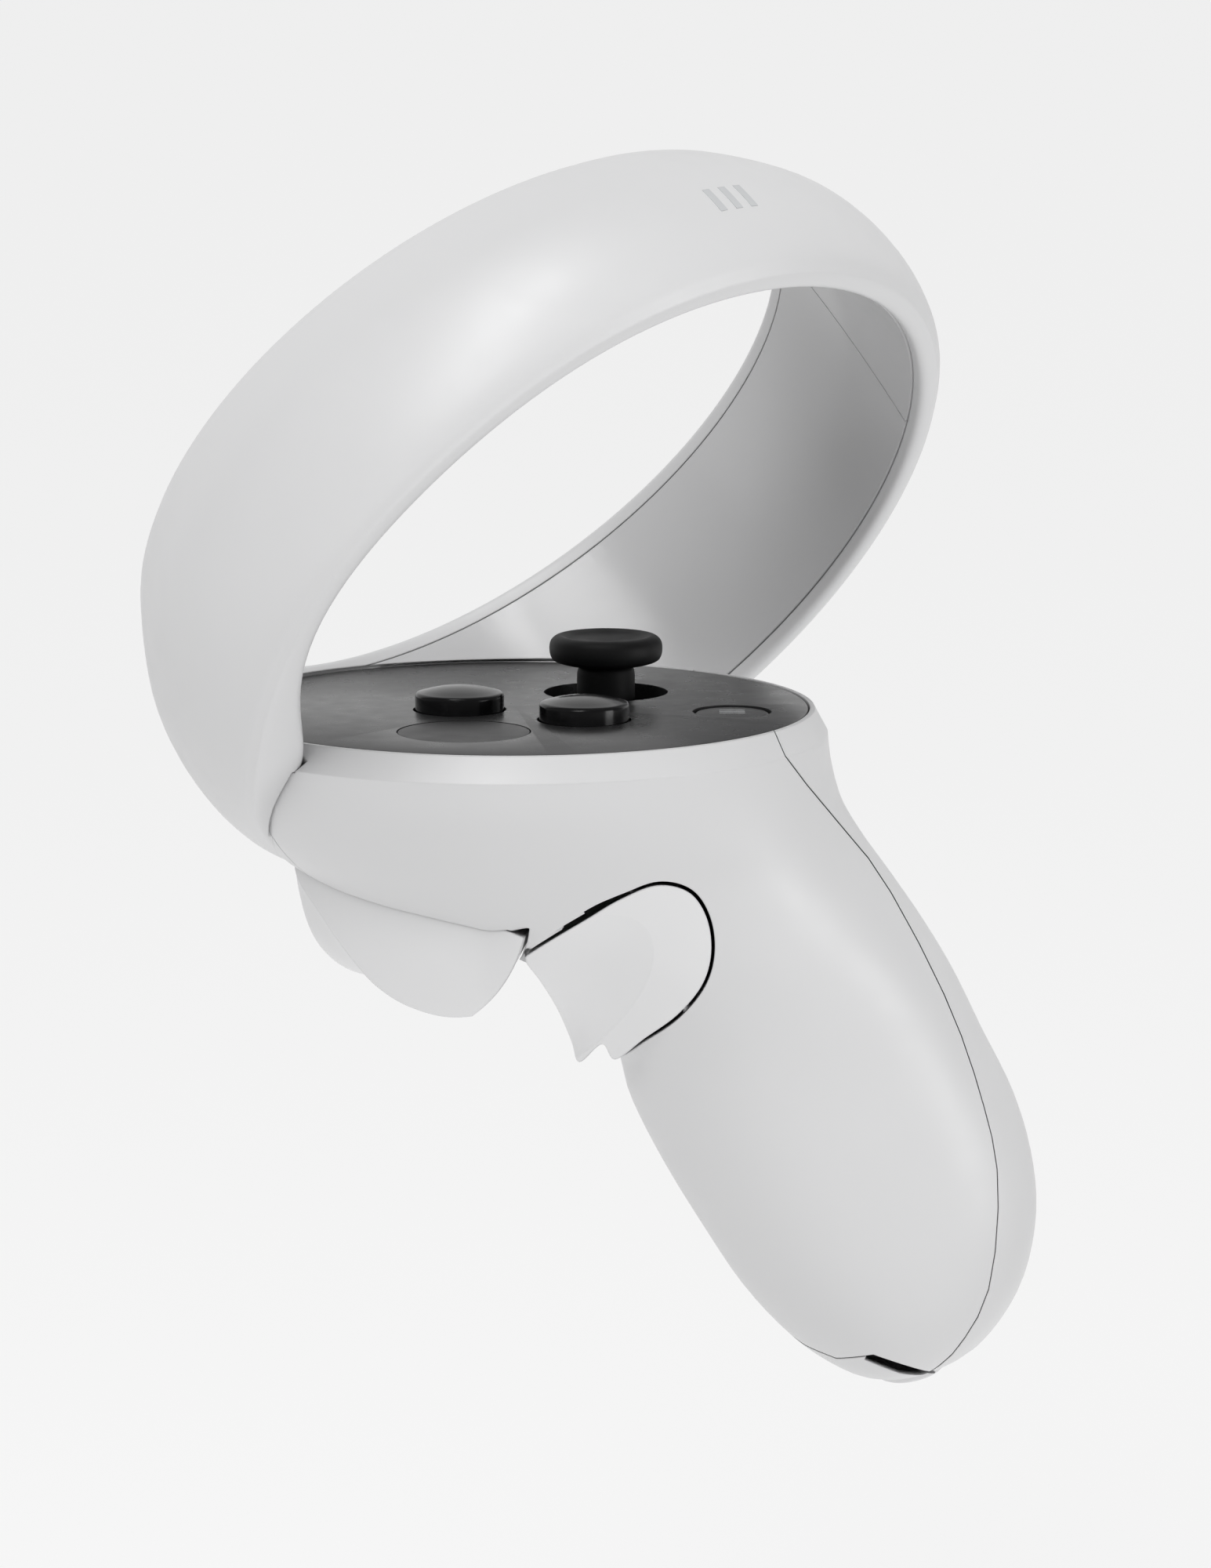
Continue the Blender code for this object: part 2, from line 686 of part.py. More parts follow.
def build_stick(black, grey, steel):
    """Thumbstick cap, stem, dust skirt, gimbal and the module that holds them."""
    x, y = STICK
    base = frame_at((x, y, 0), (0, 0, 1))
    cap = [(0, 4.0), (2.2, 4.0), (2.2, 2.9), (4.6, 3.0), (5.3, 3.3), (5.6, 3.9), (STICK_CAP_R, 4.6)]
    cap += [(5.5, 5.2), (5.1, 5.6), (4.6, 5.75), (4.1, 5.6), (3.0, 5.25), (0, 5.05)]
    revolve("thumbstick_cap", cap, base, 32, black)
    pivot = STICK_PIVOT_Z
    stem = [(0, pivot - 2.0), (1.4, pivot - 2.0), (1.4, -3.0), (STICK_STEM_R, -1.6), (STICK_STEM_R, 2.0)]
    stem += [(STICK_STEM_R - 0.2, 2.6), (1.9, 2.6), (1.9, 3.7), (0, 3.7)]
    revolve("thumbstick_stem", stem, base, 22, black)
    revolve("thumbstick_skirt", skirt_profile(pivot, 8.2, 0.7), base, 28, black)
    # Inner block turns about Y with the stem; the yoke round it turns about X.
    block = box("stick_rocker", (x - 2.3, y - 3.4, pivot - 2.0), (x + 2.3, y + 3.4, pivot + 2.0))
    cut(block, rod("rocker_bore", (x, y, 0), (0, 0, 1), 1.55, -20, 0, steps=24))
    finish(block, grey)
    yoke = box("stick_gimbal", (x - 4.6, y - 4.6, pivot - 1.4), (x + 4.6, y + 4.6, pivot + 1.4))
    cut(yoke, box("yoke_window", (x - 3.6, y - 3.8, pivot - 9), (x + 3.6, y + 3.8, pivot + 9)))
    for side in (-1, 1):
        join(yoke, rod("yoke_pin", (x + side * 5.2, y, pivot), (1, 0, 0), 0.9, -0.9, 0.9, steps=20))
    finish(yoke, grey)
    roof = BOARD_TOP - BOARD_THICK - SEAM_GAP
    house = box("stick_module", (x - 7.0, y - 7.0, pivot - 4.4), (x + 7.0, y + 7.0, roof))
    cut(house, box("house_room", (x - 5.9, y - 5.9, pivot - 3.6), (x + 5.9, y + 5.9, 5)))
    cut(house, rod("pin_bore", (x, y, pivot), (1, 0, 0), 0.95, -6.4, 6.4, steps=20))
    finish(house, steel)


def build_board(green, screw):
    """The main circuit board and the screws that hold it."""
    frame = frame_at((0, 0, 0), (0, 0, 1))
    low = BOARD_TOP - BOARD_THICK
    profile = [(0, low), (BOARD_R, low), (BOARD_R, BOARD_TOP), (0, BOARD_TOP)]
    board = revolve("main_board", profile, frame, 48)
    cut(board, rod("stick_way", (*STICK, 0), (0, 0, 1), 8.6, -20, 0, steps=32))
    for k, (x, y) in enumerate(BOARD_SCREWS):
        cut(board, rod("screw_way", (x, y, 0), (0, 0, 1), 1.05, -20, 0, steps=16))
        foot, seat = BOARD_TOP - 5.6, BOARD_TOP + SEAM_GAP
        profile = [(0, foot), (0.7, foot + 0.6), (0.8, seat), (1.7, seat)]
        profile += [(1.7, seat + 0.7), (1.3, seat + 1.0), (0, seat + 1.0)]
        revolve(f"board_screw_{k + 1}", profile, frame_at((x, y, 0), (0, 0, 1)), 16, screw)
    finish(board, green)


# ---------------------------------------------------------------- trigger and grip

# Side outlines x, z of the trigger, from its inner edge to its outer edge
TRIGGER_NEAR = (
    (-19.8, -11.8), (-21.2, -15.0), (-18.4, -19.3), (-15.7, -22.9), (-13.2, -25.6),
    (-10.0, -27.5), (-6.0, -28.4), (-1.6, -27.4), (1.6, -24.8), (2.6, -21.8),
    (2.2, -19.4), (-6.0, -16.9), (-13.5, -13.7),
)
TRIGGER_MIDDLE = (
    (-19.9, -12.0), (-21.4, -15.4), (-19.4, -19.8), (-16.9, -23.6), (-14.0, -26.2),
    (-10.4, -27.4), (-6.0, -28.0), (-1.8, -27.2), (1.6, -24.7), (2.6, -21.8),
    (2.2, -19.4), (-6.0, -16.9), (-13.5, -13.7),
)
TRIGGER_FAR = (
    (-20.2, -13.0), (-22.0, -16.2), (-21.7, -20.6), (-20.2, -24.8), (-16.9, -27.8),
    (-12.0, -28.6), (-6.6, -28.6), (-1.8, -27.4), (1.6, -24.7), (2.6, -21.8),
    (2.2, -19.4), (-6.0, -16.9), (-13.5, -13.7),
)

# The trigger's outlines at places across it, its plan seen from above, and how the plan narrows downwards
TRIGGER_STATIONS = (
    (-22.0, TRIGGER_NEAR),
    (-9.0, TRIGGER_NEAR),
    (-1.0, TRIGGER_MIDDLE),
    (6.0, TRIGGER_FAR),
    (16.0, TRIGGER_FAR),
)
TRIGGER_PLAN = (
    (-23.0, -4.0), (-20.4, -8.6), (-15.5, -13.2), (-9.5, -16.8), (-3.0, -18.6), (5.0, -19.0),
    (5.0, 13.0), (-6.0, 13.2), (-14.0, 12.0), (-19.5, 8.5), (-22.6, 3.0),
)
TRIGGER_LAYERS = ((-9.0, 1.0), (-19.0, 0.98), (-24.0, 0.9), (-27.0, 0.8), (-29.5, 0.66))


def trigger_solid(name, grow):
    """The trigger's lobe: a concave finger face in front, rounded underneath."""
    count = 36
    rings = []
    for y, knots in TRIGGER_STATIONS:
        outline = curve_through(knots, count, closed=True)
        middle = Vector((sum(p[0] for p in outline) / count, sum(p[1] for p in outline) / count))
        ring = []
        for px, pz in outline:
            out = (Vector((px, pz)) - middle).normalized() * grow
            ring.append(Vector((px + out.x, y, pz + out.y)))
        rings.append(ring)
    made = loft(name, rings)
    plan = curve_through(TRIGGER_PLAN, count, closed=True)
    middle = Vector((-8.0, -3.0))
    layers = []
    for z, share in TRIGGER_LAYERS:
        layer = []
        for px, py in plan:
            point = Vector((px * 0.5 * (1 + share), py * share))
            point += (point - middle).normalized() * grow
            layer.append(Vector((point.x, point.y, z)))
        layers.append(layer)
    return clip(made, loft(name + "_plan", layers))


def trigger_reach(name, grow):
    """The room in front of the grip button, turned about the trigger's pin."""
    px, pz = TRIGGER_PIN
    low, high = (radius + grow for radius in TRIGGER_REAR)
    profile = [(0, -24.0), (low - 0.5, -24.0), (low, -18.0), (high, 3.0), (high + 0.6, 24.0), (0, 24.0)]
    return revolve(name, profile, frame_at((px, 0, pz), (0, 1, 0), (1, 0, 0)), 72)


def swept(name, item, point, axis, angles):
    """Copies of an object turned about an axis, as separate cutters."""
    made = []
    place = Matrix.Translation(Vector(point) * MM)
    for k, angle in enumerate(angles):
        copy = duplicate(item, f"{name}_{k}")
        turn = Matrix.Rotation(math.radians(angle), 4, Vector(axis))
        copy.data.transform(place @ turn @ place.inverted())
        made.append(copy)
    return made


def build_trigger(shells, white, steel):
    """Trigger lobe with its hinge lug, return spring, pin and sensor magnet."""
    px, pz = TRIGGER_PIN
    pin, magnet = (px, 0, pz), (TRIGGER_MAGNET_X, 0, 0)
    trigger = trigger_solid("trigger", 0.0)
    for side in (-1, 1):
        low, high = sorted((side * 3.6, side * 8.6))
        cut(trigger, box("trigger_pocket", (px - 4.2, low, pz - 3.2), (px + 4.6, high, -5)))
    join(trigger, rod("trigger_lug", pin, (0, 1, 0), 2.4, -3.4, 3.4, steps=28))
    cut(trigger, rod("trigger_bore", pin, (0, 1, 0), TRIGGER_PIN_R + 0.06, -9, 9, steps=28))
    cut(trigger, rod("magnet_bore", magnet, (0, 0, 1), MAGNET_R + 0.15, -18.6, -10, steps=20))
    clip(trigger, trigger_reach("trigger_reach", 0.0))
    clear = clip(trigger_solid("trigger_clear", 0.43), trigger_reach("reach_clear", 0.3))
    angles = [(TRIGGER_SWING + OVER_SWING) * k / 5 for k in range(6)]
    for shell in shells:
        cut(shell, *swept("sweep", clear, pin, (0, -1, 0), angles))
    bpy.data.objects.remove(clear)
    finish(trigger, white)
    rod("trigger_pin", pin, (0, 1, 0), TRIGGER_PIN_R, -8.6, 8.6, steel, 28, 0.2)
    rod("trigger_magnet", magnet, (0, 0, 1), MAGNET_R, -18.4, -16.9, steel, 20, 0.15)
    coil = frame_at((px, -4.75, pz), (0, 1, 0), (1, 0, 0))
    wire_coil("trigger_spring", coil, (1.75, 1.75), (-0.8, 0.8), 3.2, 0.22, steel)


def wire_coil(name, frame, radii, heights, turns, wire, surface):
    """A wire coil about the frame's Z, as a closed tube; its radius may change along it."""
    rings, steps, sides = [], int(turns * 12), 5
    for k in range(steps + 1):
        share = k / steps
        turn = 2 * math.pi * turns * share
        radius = radii[0] + (radii[1] - radii[0]) * share
        height = heights[0] + (heights[1] - heights[0]) * share
        out = Vector((math.cos(turn), math.sin(turn), 0))
        ring = []
        for i in range(sides):
            angle = 2 * math.pi * i / sides
            place = out * (radius + wire * math.cos(angle))
            ring.append(frame @ (place + Vector((0, 0, height + wire * math.sin(angle)))))
        rings.append(ring)
    return loft(name, rings, surface, 60)


# Outline of the grip button in the side view
GRIP_OUTLINE = (
    (1.3, -24.6), (2.3, -23.5), (7.4, -20.3), (10.4, -18.5), (13.8, -17.2), (16.8, -17.9),
    (18.5, -20.3), (19.0, -23.6), (18.2, -26.8), (15.9, -29.8), (12.7, -32.3), (9.9, -34.5),
    (8.6, -33.0), (6.4, -35.0), (5.6, -33.0), (4.2, -29.6), (2.6, -26.7),
)


def grip_form(name, grow):
    """The handle's surface pushed out in front, where the middle finger rests."""
    knots = curve_through(BODY_KNOTS[3:12], 21)
    rings = []
    for knot in knots:
        ring = body_section(knot, grow, HEAD_STEPS)
        front = Vector((knot[0] - knot[2], 0, knot[1] - knot[3])).normalized()
        for i, p in enumerate(ring):
            angle = 2 * math.pi * i / HEAD_STEPS
            ahead = max(0.0, -math.cos(angle) - 0.35) / 0.65
            ring[i] = p + front * GRIP_PUSH * ahead**1.2
        rings.append(ring)
    return loft(name, rings)


def grip_solid(name, grow):
    """The grip button's block: its outline in the side view, under the pushed-out surface."""
    outline = curve_through(GRIP_OUTLINE, 51, closed=True)
    tongue = side_prism(name, outline, (11.0, -26.5), grow, -30.0, 7.0 + grow)
    clip(tongue, grip_form("grip_form", grow - 0.05))
    return cut(tongue, body_solid("grip_core", -GRIP_DEPTH - grow, 27, knots=BODY_KNOTS[:-1], cap=0.5))


def grip_boss(low, high):
    """A boss for one end of the grip's pin, with a web that reaches the shell's wall."""
    axis = Vector(GRIP_AXIS).normalized()
    boss = rod("boss", GRIP_PIVOT, axis, 1.9, low, high, steps=20)
    frame = frame_at(GRIP_PIVOT, axis, (0, 1, 0))
    web = box("web", (-30.0, -1.2, low + 0.1), (-0.8, 1.2, high - 0.1), frame)
    clip(web, body_solid("web_room", -0.6))
    return join(boss, web)


def build_grip(shells, white, steel):
    """Grip button with its pin, spring and sensor magnet."""
    axis = Vector(GRIP_AXIS).normalized()
    grip = grip_solid("grip_button", 0.0)
    clear = grip_solid("grip_clear", 0.4)
    medial = shells[0]
    for low, high in GRIP_BOSSES:
        join(medial, grip_boss(low, high))
    angles = [(GRIP_SWING + OVER_SWING) * k / 3 for k in range(4)]
    for shell in shells:
        cut(shell, *swept("sweep", clear, GRIP_PIVOT, axis, angles))
    bpy.data.objects.remove(clear)
    cut(medial, rod("boss_bore", GRIP_PIVOT, axis, 1.0, -14, 14, steps=20))
    low, high = GRIP_LUG
    cut(medial, rod("lug_room", GRIP_PIVOT, axis, 2.1, low - 0.4, GRIP_BOSSES[1][0], steps=20))
    join(grip, rod("grip_lug", GRIP_PIVOT, axis, 1.8, low, high, steps=24))
    cut(grip, rod("grip_bore", GRIP_PIVOT, axis, 0.96, -20, 20, steps=24))
    cut(grip, rod("grip_magnet_bore", GRIP_MAGNET, (0, 1, 0), MAGNET_R + 0.15, -14.4, 0, steps=20))
    finish(grip, white)
    rod("grip_pin", GRIP_PIVOT, axis, 0.9, GRIP_BOSSES[0][0] - 0.3, GRIP_BOSSES[1][1] + 0.3, steel, 24, 0.2)
    rod("grip_magnet", GRIP_MAGNET, (0, 1, 0), MAGNET_R, -14.2, -13.2, steel, 20, 0.15)
    middle = (high + GRIP_BOSSES[1][0]) / 2
    coil = frame_at(Vector(GRIP_PIVOT) + axis * middle, axis)
    wire_coil("grip_spring", coil, (1.5, 1.5), (-0.525, 0.525), 2.5, 0.17, steel)


# ---------------------------------------------------------------- inside the handle and head


def build_chassis(grey):
    """Inner frame under the board: screw bosses and the two lugs that carry the trigger's pin."""
    px, pz = TRIGGER_PIN
    top, foot = -10.6, -11.8
    frame = frame_at((0, 0, 0), (0, 0, 1))
    chassis = revolve("inner_chassis", [(0, foot), (22.0, foot), (22.0, top), (0, top)], frame, 48)
    x, y = STICK
    cut(chassis, box("module_way", (x - 7.5, y - 7.5, -30), (x + 7.5, y + 7.5, 0)))
    cut(chassis, box("lug_way", (px - 8.5, -6.0, -30), (px + 4.0, 6.0, 0)))
    cut(chassis, box("boss_way", (7.5, -17.0, -30), (14.2, -10.6, 0)))
    cut(chassis, box("cell_way", (19.6, -8.2, -30), (40, 10.6, 0)))
    head = BOARD_TOP - BOARD_THICK - SEAM_GAP
    for bx, by in BOARD_SCREWS:
        join(chassis, rod("boss", (bx, by, 0), (0, 0, 1), 2.0, foot + 0.2, head, steps=20))
        cut(chassis, rod("boss_bore", (bx, by, 0), (0, 0, 1), 1.0, foot + 0.8, 0, steps=16))
    for side in (-1, 1):
        low, high = sorted((side * 6.2, side * 8.2))
        join(chassis, box("lug", (px - 2.0, low, pz - 2.0), (px + 2.0, high, top - 0.2)))
    cut(chassis, rod("lug_bore", (px, 0, pz), (0, 1, 0), TRIGGER_PIN_R + 0.06, -9, 9, steps=28))
    finish(chassis, grey)


def build_battery(cell_side, steel, grey):
    """AA cell, the tray it lies in and its two contacts."""
    frame = handle_frame()
    low, high = CELL_LOW, CELL_LOW + CELL_LENGTH
    edge = 0.5
    profile = [(0, low), (CELL_R - edge, low), (CELL_R, low + edge), (CELL_R, high - 1.5 - edge)]
    profile += [(CELL_R - edge, high - 1.5), (2.7, high - 1.5), (2.6, high), (0, high)]
    revolve("aa_cell", profile, frame, 36, cell_side)
    first, last = low - 3.6, high + 1.7
    arc = []
    for radius, order in ((CELL_R + 0.4, 1), (CELL_R + 1.3, -1)):
        angles = [math.radians(185 + 170 * k / 16) for k in range(17)][::order]
        arc += [(radius * math.cos(a), radius * math.sin(a)) for a in angles]
    tray = prism("battery_tray", arc, frame, first, last)
    for low_end, high_end in ((first - 0.1, first + 1.0), (last - 1.0, last + 0.1)):
        disc = [(0, low_end), (CELL_R + 1.1, low_end), (CELL_R + 1.1, high_end), (0, high_end)]
        end = revolve("tray_end", disc, frame, 30)
        join(tray, cut(end, box("tray_open", (-20, 3.5, -60), (20, 20, 60), frame)))
    clip(tray, body_solid("tray_room", -SHELL_WALL - 0.4, 25, knots=BODY_KNOTS[:-1], cap=0.3))
    finish(tray, grey)
    box("battery_contact", (-4.0, -4.0, high + 0.12), (4.0, 3.6, high + 0.45), frame, steel)
    wire_coil("battery_spring", frame, (4.6, 2.4), (low - 2.25, low - 0.35), 3.5, 0.25, steel)


def build_motor(steel):
    """Haptic motor, a flat coin under the board."""
    frame = frame_at((5.5, -14.0, 0), (0, 0, 1))
    profile = [(0, -10.2), (4.6, -10.2), (4.9, -9.9), (4.9, -7.4), (4.6, -7.1), (0, -7.1)]
    revolve("haptic_motor", profile, frame, 32, steel)


def lanyard_slot(name):
    """Cutter for the narrow slot under the inner shell's edge at the tip, where a wrist loop is tied."""
    return side_prism(name, SLOT_OUTLINE, SLOT_MIDDLE, 0.0, *SLOT_DEPTH)


def main():
    clear_scene()
    white = material("white_plastic", (0.80, 0.80, 0.80), 0.45)
    inner_white = material("ring_liner_plastic", (0.72, 0.72, 0.73), 0.35)
    key_white = material("key_plastic", (0.86, 0.86, 0.86), 0.4)
    dark = material("plate_plastic", (0.055, 0.057, 0.06), 0.5)
    pad = material("thumb_rest_plastic", (0.03, 0.03, 0.032), 0.65)
    black = material("black_plastic", (0.012, 0.012, 0.013), 0.3)
    soft = material("black_rubber", (0.015, 0.015, 0.016), 0.6)
    grey = material("grey_plastic", (0.25, 0.25, 0.26), 0.5)
    steel = material("steel", (0.6, 0.6, 0.61), 0.3, 1.0)
    green = material("circuit_board", (0.03, 0.14, 0.07), 0.45)
    clear = material("dome_rubber", (0.45, 0.45, 0.46), 0.6)
    label = material("cell_sleeve", (0.14, 0.15, 0.17), 0.35)

    wall = shell_wall()
    ring = build_ring_shell(white)
    medial, lateral, cover = build_shells(wall)
    bpy.data.objects.remove(wall)
    build_trigger((medial, lateral, ring), key_white, steel)
    build_grip((medial, lateral), key_white, steel)
    cut(lateral, lanyard_slot("slot"))
    for shell in (medial, lateral, cover):
        keep_largest(shell)
        finish(shell, white)
    finish(ring, white)
    build_liner(inner_white)
    build_led_strip(dark)
    build_plate(dark, pad)
    build_button("button_a", BUTTON_A, BUTTON_TOP, BUTTON_R, BUTTON_DOME, black)
    build_button("button_b", BUTTON_B, BUTTON_TOP, BUTTON_R, BUTTON_DOME, black)
    build_button("system_button", SYSTEM_BUTTON, SYSTEM_TOP, SYSTEM_R, SYSTEM_DOME, dark)
    build_dome("dome_a", BUTTON_A, clear)
    build_dome("dome_b", BUTTON_B, clear)
    build_dome("dome_system", SYSTEM_BUTTON, clear)
    build_stick(soft, grey, steel)
    build_board(green, steel)
    build_chassis(grey)
    build_battery(label, steel, grey)
    build_motor(steel)


main()
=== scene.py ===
"""Looks of a right-hand motion controller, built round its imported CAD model.

The shells, ring, plate and keys are made again here as fine smooth surfaces on the same driving dimensions as
the CAD solids, in millimetres; hidden inner parts keep their CAD shape and get a finished material.
"""

import json
import math

import bmesh
import bpy
from mathutils import Matrix, Vector
from mathutils.bvhtree import BVHTree
from mathutils.interpolate import poly_3d_calc

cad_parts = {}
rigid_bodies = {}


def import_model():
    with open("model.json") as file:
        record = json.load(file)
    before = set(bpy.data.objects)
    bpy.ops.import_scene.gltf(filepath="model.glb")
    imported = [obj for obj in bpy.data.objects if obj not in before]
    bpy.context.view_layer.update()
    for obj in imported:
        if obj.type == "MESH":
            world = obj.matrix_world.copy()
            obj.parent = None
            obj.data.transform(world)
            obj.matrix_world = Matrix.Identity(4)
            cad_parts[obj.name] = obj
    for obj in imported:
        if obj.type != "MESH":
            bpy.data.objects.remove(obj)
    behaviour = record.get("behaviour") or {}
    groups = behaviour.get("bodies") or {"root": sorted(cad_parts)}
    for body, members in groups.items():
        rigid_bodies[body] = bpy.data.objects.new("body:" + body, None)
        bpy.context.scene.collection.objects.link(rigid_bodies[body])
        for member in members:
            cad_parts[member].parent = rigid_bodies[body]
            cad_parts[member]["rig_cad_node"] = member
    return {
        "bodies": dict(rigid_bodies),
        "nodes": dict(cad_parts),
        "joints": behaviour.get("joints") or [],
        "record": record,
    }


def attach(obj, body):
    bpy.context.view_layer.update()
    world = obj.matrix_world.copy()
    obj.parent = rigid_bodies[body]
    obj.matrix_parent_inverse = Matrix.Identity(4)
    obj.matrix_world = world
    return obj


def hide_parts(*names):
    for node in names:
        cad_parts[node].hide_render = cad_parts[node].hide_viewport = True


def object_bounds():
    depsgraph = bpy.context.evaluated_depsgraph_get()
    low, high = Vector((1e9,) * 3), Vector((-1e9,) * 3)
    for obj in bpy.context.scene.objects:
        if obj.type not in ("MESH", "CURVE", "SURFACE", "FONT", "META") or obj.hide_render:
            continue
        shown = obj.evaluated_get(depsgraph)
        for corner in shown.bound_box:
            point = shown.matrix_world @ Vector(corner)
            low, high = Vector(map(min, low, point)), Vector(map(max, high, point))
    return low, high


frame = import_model()
cad_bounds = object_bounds()

MM = 0.001

# Driving dimensions, as in the CAD model
RING_CENTRE = (8.44, -7.74, 12.9)
RING_TILT = 50.7
RING_AZIMUTH = 136.3
RING_HEIGHT = 22.7
RING_HEIGHT_SWING = (0.072, 0.023)
RING_INNER_LOW = 38.1
RING_INNER_HIGH = 35.1
RING_CROWN = ((0.0, 40.6), (0.15, 41.95), (0.35, 42.5), (0.6, 41.8), (0.85, 39.2), (1.0, 36.9))
RING_FLARE = ((66.0, 24.0, 2.3), (112.0, 30.0, 0.8))
RING_ROOT = (62.0, 18.0, 3.4)
RING_WALL = 1.5
LINER_WALL = 1.0
SEAM_POINT = (-24.3, -19.1, -2.4)
SEAM_TILT = 74.0
SEAM_AZIMUTH = 135.4
PLATE_R = 28.9
PLATE_THICK = 1.5
PLATE_GAP = 0.3
BUTTON_R = 4.35
BUTTON_A = (6.9, -8.3)
BUTTON_B = (-5.3, -2.2)
SYSTEM_BUTTON = (21.3, -3.5)
SYSTEM_R = 3.7
THUMB_REST = (-4.5, -15.4)
THUMB_REST_R = 6.4
STICK = (9.0, 8.8)
STICK_HOLE_R = 6.2
STICK_PIVOT_Z = -9.0
STICK_STEM_R = 2.9
STICK_CAP_R = 5.65
SHELL_WALL = 1.8
VIEW_LEAN = 10.1
LINER_JOINT = (235.0, 30.0)
SEAM_Y = 0.8
COVER_Y = 3.0
RIM_DEPTH = -2.5
SLOT_OUTLINE = (
    (34.8, -63.5), (38.0, -64.9), (41.6, -65.9), (42.0, -66.7), (38.0, -65.9), (34.5, -64.4),
)
SLOT_MIDDLE = (38.2, -65.2)
SLOT_DEPTH = (-30.0, 9.0)
BUTTON_TOP = 1.75
BUTTON_DOME = 0.6
SYSTEM_TOP = -0.12
SYSTEM_DOME = 0.1
OVER_SWING = 0.6
GRIP_PUSH = 5.5
GRIP_DEPTH = 4.4
TRIGGER_PIN = (-15.0, -14.8)
TRIGGER_SWING = 12.0
TRIGGER_REAR = (17.0, 18.75)
GRIP_SWING = 8.0
GRIP_PIVOT = (15.6, -12.9, -23.6)
GRIP_AXIS = (0.39, 0.10, -0.915)
HANDLE_DIR = (0.40, 0.0, -0.917)
HANDLE_POINT = (26.6, 1.2, -30.0)
CELL_R = 7.1
CELL_LOW = -15.5
CELL_LENGTH = 49.5

# Fineness of the surfaces, and the narrow parting lines that show
RING_STEPS = 144
HEAD_STEPS = 88
BODY_ROWS = 56
FORM_STEPS = 160
SEAM_GAP = 0.10
WELD = 0.0015
FAR = 120.0


# ---------------------------------------------------------------- mesh helpers


def add(name, points, faces, smooth=30.0):
    mesh = bpy.data.meshes.new(name)
    mesh.from_pydata([Vector(p) * MM for p in points], [], faces)
    work = bmesh.new()
    work.from_mesh(mesh)
    bmesh.ops.recalc_face_normals(work, faces=work.faces)
    work.to_mesh(mesh)
    work.free()
    made = bpy.data.objects.new(name, mesh)
    bpy.context.scene.collection.objects.link(made)
    made.hide_render = True
    shade(made, smooth)
    return made


def shade(item, angle):
    """Smooth shading that keeps edges sharper than the angle."""
    item.data.shade_smooth()
    item.data.set_sharp_from_angle(angle=math.radians(angle))


def bake(item, smooth=30.0):
    """Puts the object's modifiers into its mesh and cleans it."""
    graph = bpy.context.evaluated_depsgraph_get()
    mesh = bpy.data.meshes.new_from_object(item.evaluated_get(graph))
    work = bmesh.new()
    work.from_mesh(mesh)
    bmesh.ops.remove_doubles(work, verts=work.verts, dist=WELD * MM)
    bmesh.ops.dissolve_degenerate(work, edges=work.edges, dist=WELD * MM)
    bmesh.ops.triangulate(work, faces=[f for f in work.faces if len(f.verts) > 4])
    work.to_mesh(mesh)
    work.free()
    item.modifiers.clear()
    item.data = mesh
    shade(item, smooth)


def combine(item, others, operation):
    """Applies boolean operations of one object with others, which are then removed."""
    for other in others:
        step = item.modifiers.new("Boolean", "BOOLEAN")
        step.operation = operation
        step.solver = "EXACT"
        step.object = other
        bake(item)
        bpy.data.objects.remove(other)
    return item


def cut(item, *others):
    return combine(item, others, "DIFFERENCE")


def join(item, *others):
    return combine(item, others, "UNION")


def clip(item, *others):
    return combine(item, others, "INTERSECT")


def loft(name, rings, smooth=30.0):
    """A closed solid through rings of equal point counts, with flat caps."""
    count = len(rings[0])
    points = [p for ring in rings for p in ring]
    faces = []
    for k in range(len(rings) - 1):
        for i in range(count):
            j = (i + 1) % count
            a, b = k * count, (k + 1) * count
            faces.append((a + i, a + j, b + j, b + i))
    faces.append(tuple(range(count)))
    faces.append(tuple(range((len(rings) - 1) * count, len(rings) * count)))
    return add(name, points, faces, smooth)


def frame_at(origin, z_axis, x_axis=None):
    """A matrix whose Z is the given direction; X is made as near as possible to the one asked for."""
    z = Vector(z_axis).normalized()
    x = Vector(x_axis) if x_axis else (Vector((1, 0, 0)) if abs(z.x) < 0.9 else Vector((0, 1, 0)))
    x = (x - z * x.dot(z)).normalized()
    y = z.cross(x)
    turn = Matrix((x, y, z)).transposed().to_4x4()
    return Matrix.Translation(Vector(origin)) @ turn


def revolve(name, profile, frame, steps=96, smooth=30.0):
    """Turns a closed (radius, height) outline about the frame's Z; points on the axis are shared."""
    points, faces, index = [], [], []
    for radius, height in profile:
        if radius < 1e-6:
            index.append([len(points)] * steps)
            points.append(frame @ Vector((0, 0, height)))
            continue
        row = []
        for i in range(steps):
            angle = 2 * math.pi * i / steps
            row.append(len(points))
            points.append(frame @ Vector((radius * math.cos(angle), radius * math.sin(angle), height)))
        index.append(row)
    for k in range(len(profile)):
        low, high = index[k], index[(k + 1) % len(profile)]
        for i in range(steps):
            j = (i + 1) % steps
            face = []
            for corner in (low[i], low[j], high[j], high[i]):
                if corner not in face:
                    face.append(corner)
            if len(face) > 2:
                faces.append(tuple(face))
    return add(name, points, faces, smooth)


def rod(name, centre, axis, radius, low, high, steps=64):
    """A cylinder from low to high along an axis through centre."""
    profile = [(0, low), (radius, low), (radius, high), (0, high)]
    return revolve(name, profile, frame_at(centre, axis), steps)


